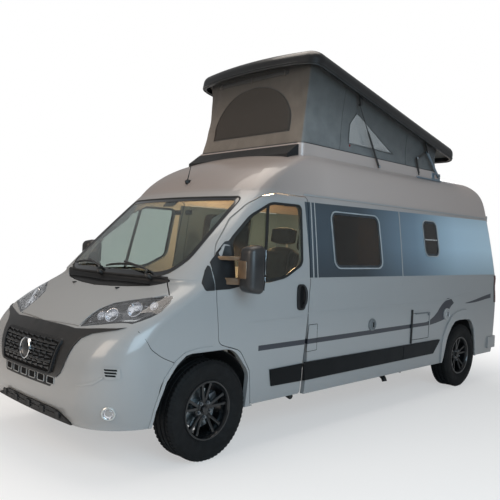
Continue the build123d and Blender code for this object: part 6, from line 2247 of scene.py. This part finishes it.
class CamperFinish(bpy.types.PropertyGroup):
    paint: FloatVectorProperty(
        name="Paint", description="Colour of the body", subtype="COLOR", size=4, min=0, max=1,
        default=tint(150, 151, 151),
    )
    band: FloatVectorProperty(
        name="Band", description="Front tone of the band beside the windows", subtype="COLOR", size=4,
        min=0, max=1, default=tint(54, 68, 78),
    )
    stripe: FloatVectorProperty(
        name="Stripe", description="Colour of the rising stripe", subtype="COLOR", size=4, min=0, max=1,
        default=tint(20, 31, 45),
    )


class CAMPER_OT_finishes(bpy.types.Operator):
    """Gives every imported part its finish"""

    bl_idname = "camper.finishes"
    bl_label = "Finishes"

    def execute(self, context):
        swaps = {
            "side_windows": "dark_glass", "rear_glass_left": "dark_glass", "rear_glass_right": "dark_glass",
            "mirror_left": "gloss_black", "mirror_right": "gloss_black", "strut_barrels": "satin_black",
            "strut_rods": "satin_black", "front_arms": "satin_black", "link_bars": "satin_black",
            "windscreen": "windscreen_glass",
        }
        for name, node in frame["nodes"].items():
            for slot in node.material_slots:
                key = swaps.get(name, slot.material.name.split(".")[0])
                if key not in MAKERS and key not in PLAIN:
                    raise RuntimeError(f"{name} has no finish for {key}")
                slot.material = finish(key)
        return {"FINISHED"}


def straight(tree):
    """1 for rays that come from the camera or through glass, 0 for all others."""
    path = add_node(tree, "ShaderNodeLightPath")
    return add_node(tree, "ShaderNodeMath", {
        0: path.outputs["Is Camera Ray"], 1: path.outputs["Is Transmission Ray"],
    }, operation="MAXIMUM").outputs[0]


class CAMPER_OT_stage(bpy.types.Operator):
    """Places the camera, the floor and the lights"""

    bl_idname = "camper.stage"
    bl_label = "Stage"

    def execute(self, context):
        scene = context.scene
        yaw, pitch, roll = (math.radians(a) for a in VIEW_TURN)
        ahead = Vector((math.cos(yaw) * math.cos(pitch), math.sin(yaw) * math.cos(pitch), math.sin(pitch)))
        right = ahead.cross(Vector((0, 0, 1))).normalized()
        up = right.cross(ahead)
        turned = math.cos(roll) * right + math.sin(roll) * up
        top = math.cos(roll) * up - math.sin(roll) * right
        data = bpy.data.cameras.new("view")
        data.lens = VIEW_LENS
        data.sensor_width = 36
        camera = bpy.data.objects.new("view", data)
        scene.collection.objects.link(camera)
        camera.matrix_world = Matrix((turned, top, -ahead)).transposed().to_4x4()
        camera.location = VIEW_PLACE
        scene.camera = camera

        world = bpy.data.worlds.new("studio")
        scene.world = world
        world.use_nodes = True
        tree = world.node_tree
        tree.nodes.clear()
        soft = add_node(tree, "ShaderNodeBackground", {"Color": (0.95, 0.97, 1.0, 1), "Strength": 0.25})
        plain = add_node(tree, "ShaderNodeBackground", {"Color": (1, 1, 1, 1), "Strength": 1.0})
        choice = add_node(tree, "ShaderNodeMixShader", {
            0: straight(tree), 1: soft.outputs[0], 2: plain.outputs[0],
        })
        add_node(tree, "ShaderNodeOutputWorld", {0: choice.outputs[0]})

        for name, place, aim, size, power, colour in (
            ("left_softbox", (4.2, 7.2, 3.6), (1.2, 0, 1.0), 4.5, 315, (0.60, 0.83, 1.0)),
            ("front_softbox", (8.5, -0.5, 4.4), (1.5, 0, 1.2), 4.0, 225, (1.0, 0.83, 0.68)),
            ("overhead", (0.5, -0.5, 8.0), (0.5, 0, 1), 5.0, 235, (1.0, 0.91, 0.82)),
            ("rear_fill", (-8, -4, 4.0), (0, 0, 1.2), 5.0, 170, (1, 1, 1)),
            ("living_lamp", (0.2, -0.1, 2.30), (0.6, 0, 1.2), 0.5, 30, (1.0, 0.66, 0.36)),
            ("cab_lamp", (0.75, 0.30, 1.85), (-0.4, -0.9, 1.75), 0.4, 42, (1.0, 0.64, 0.34)),
        ):
            lamp = bpy.data.lights.new(name, "AREA")
            lamp.shape = "SQUARE"
            lamp.size = size
            lamp.energy = power
            lamp.color = colour
            holder = bpy.data.objects.new(name, lamp)
            scene.collection.objects.link(holder)
            holder.location = place
            holder.visible_camera = False
            holder.visible_transmission = False
            aim_dir = Vector(aim) - Vector(place)
            holder.rotation_euler = aim_dir.to_track_quat("-Z", "Y").to_euler()

        mesh = bmesh.new()
        bmesh.ops.create_grid(mesh, x_segments=1, y_segments=1, size=120)
        data = bpy.data.meshes.new("floor_stage")
        mesh.to_mesh(data)
        mesh.free()
        ground = bpy.data.objects.new("floor_stage", data)
        scene.collection.objects.link(ground)
        pale = bpy.data.materials.new("pale_floor")
        pale.use_nodes = True
        tree = pale.node_tree
        shader = tree.nodes["Principled BSDF"]
        shader.inputs["Base Color"].default_value = (0.86, 0.86, 0.86, 1)
        shader.inputs["Roughness"].default_value = 0.9
        shader.inputs["Specular IOR Level"].default_value = 0.1
        spot = add_node(tree, "ShaderNodeTexCoord")
        reach = add_node(tree, "ShaderNodeVectorMath", {0: spot.outputs["Object"]}, operation="LENGTH")
        fade = add_node(tree, "ShaderNodeMapRange", {
            "Value": reach.outputs["Value"], "From Min": 2.4, "From Max": 6.0, "To Min": 0.45,
        }, interpolation_type="SMOOTHSTEP")
        share = add_node(tree, "ShaderNodeMath", {
            0: straight(tree), 1: fade.outputs[0],
        }, operation="MULTIPLY")
        white = add_node(tree, "ShaderNodeEmission")
        both = add_node(tree, "ShaderNodeMixShader", {
            0: share.outputs[0], 1: shader.outputs[0], 2: white.outputs[0],
        })
        tree.links.new(both.outputs[0], tree.nodes["Material Output"].inputs["Surface"])
        data.materials.append(pale)
        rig.stage(ground)
        scene.view_settings.view_transform = "Standard"
        return {"FINISHED"}


GROUPS = (CamperFinish,)


class CAMPER_PT_panel(bpy.types.Panel):
    """Lists the camper's settings and steps"""

    bl_idname = "CAMPER_PT_panel"
    bl_label = "Camper van"
    bl_space_type = "VIEW_3D"
    bl_region_type = "UI"
    bl_category = "Camper"

    def draw(self, context):
        settings = context.scene.camper_finish
        for label in ("paint", "band", "stripe"):
            self.layout.prop(settings, label)
        for step in OPERATORS:
            self.layout.operator(step.bl_idname)


OPERATORS = (CAMPER_OT_stage, CAMPER_OT_finishes) + tuple(
    value for name, value in sorted(globals().items()) if name.startswith("CAMPER_OT_step")
)


def register():
    for group in GROUPS:
        bpy.utils.register_class(group)
    bpy.types.Scene.camper_finish = PointerProperty(type=CamperFinish)
    for step in OPERATORS:
        bpy.utils.register_class(step)
    bpy.utils.register_class(CAMPER_PT_panel)


def unregister():
    bpy.utils.unregister_class(CAMPER_PT_panel)
    for step in reversed(OPERATORS):
        bpy.utils.unregister_class(step)
    del bpy.types.Scene.camper_finish
    for group in reversed(GROUPS):
        bpy.utils.unregister_class(group)


def main():
    register()
    for step in OPERATORS:
        area, name = step.bl_idname.split(".")
        getattr(getattr(bpy.ops, area), name)()
    with open("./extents.json", "w") as record:
        json.dump({"cad": [list(c) for c in CAD_BOX], "visual": [list(c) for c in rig.bounds()]}, record)


if __name__ == "__main__":
    main()
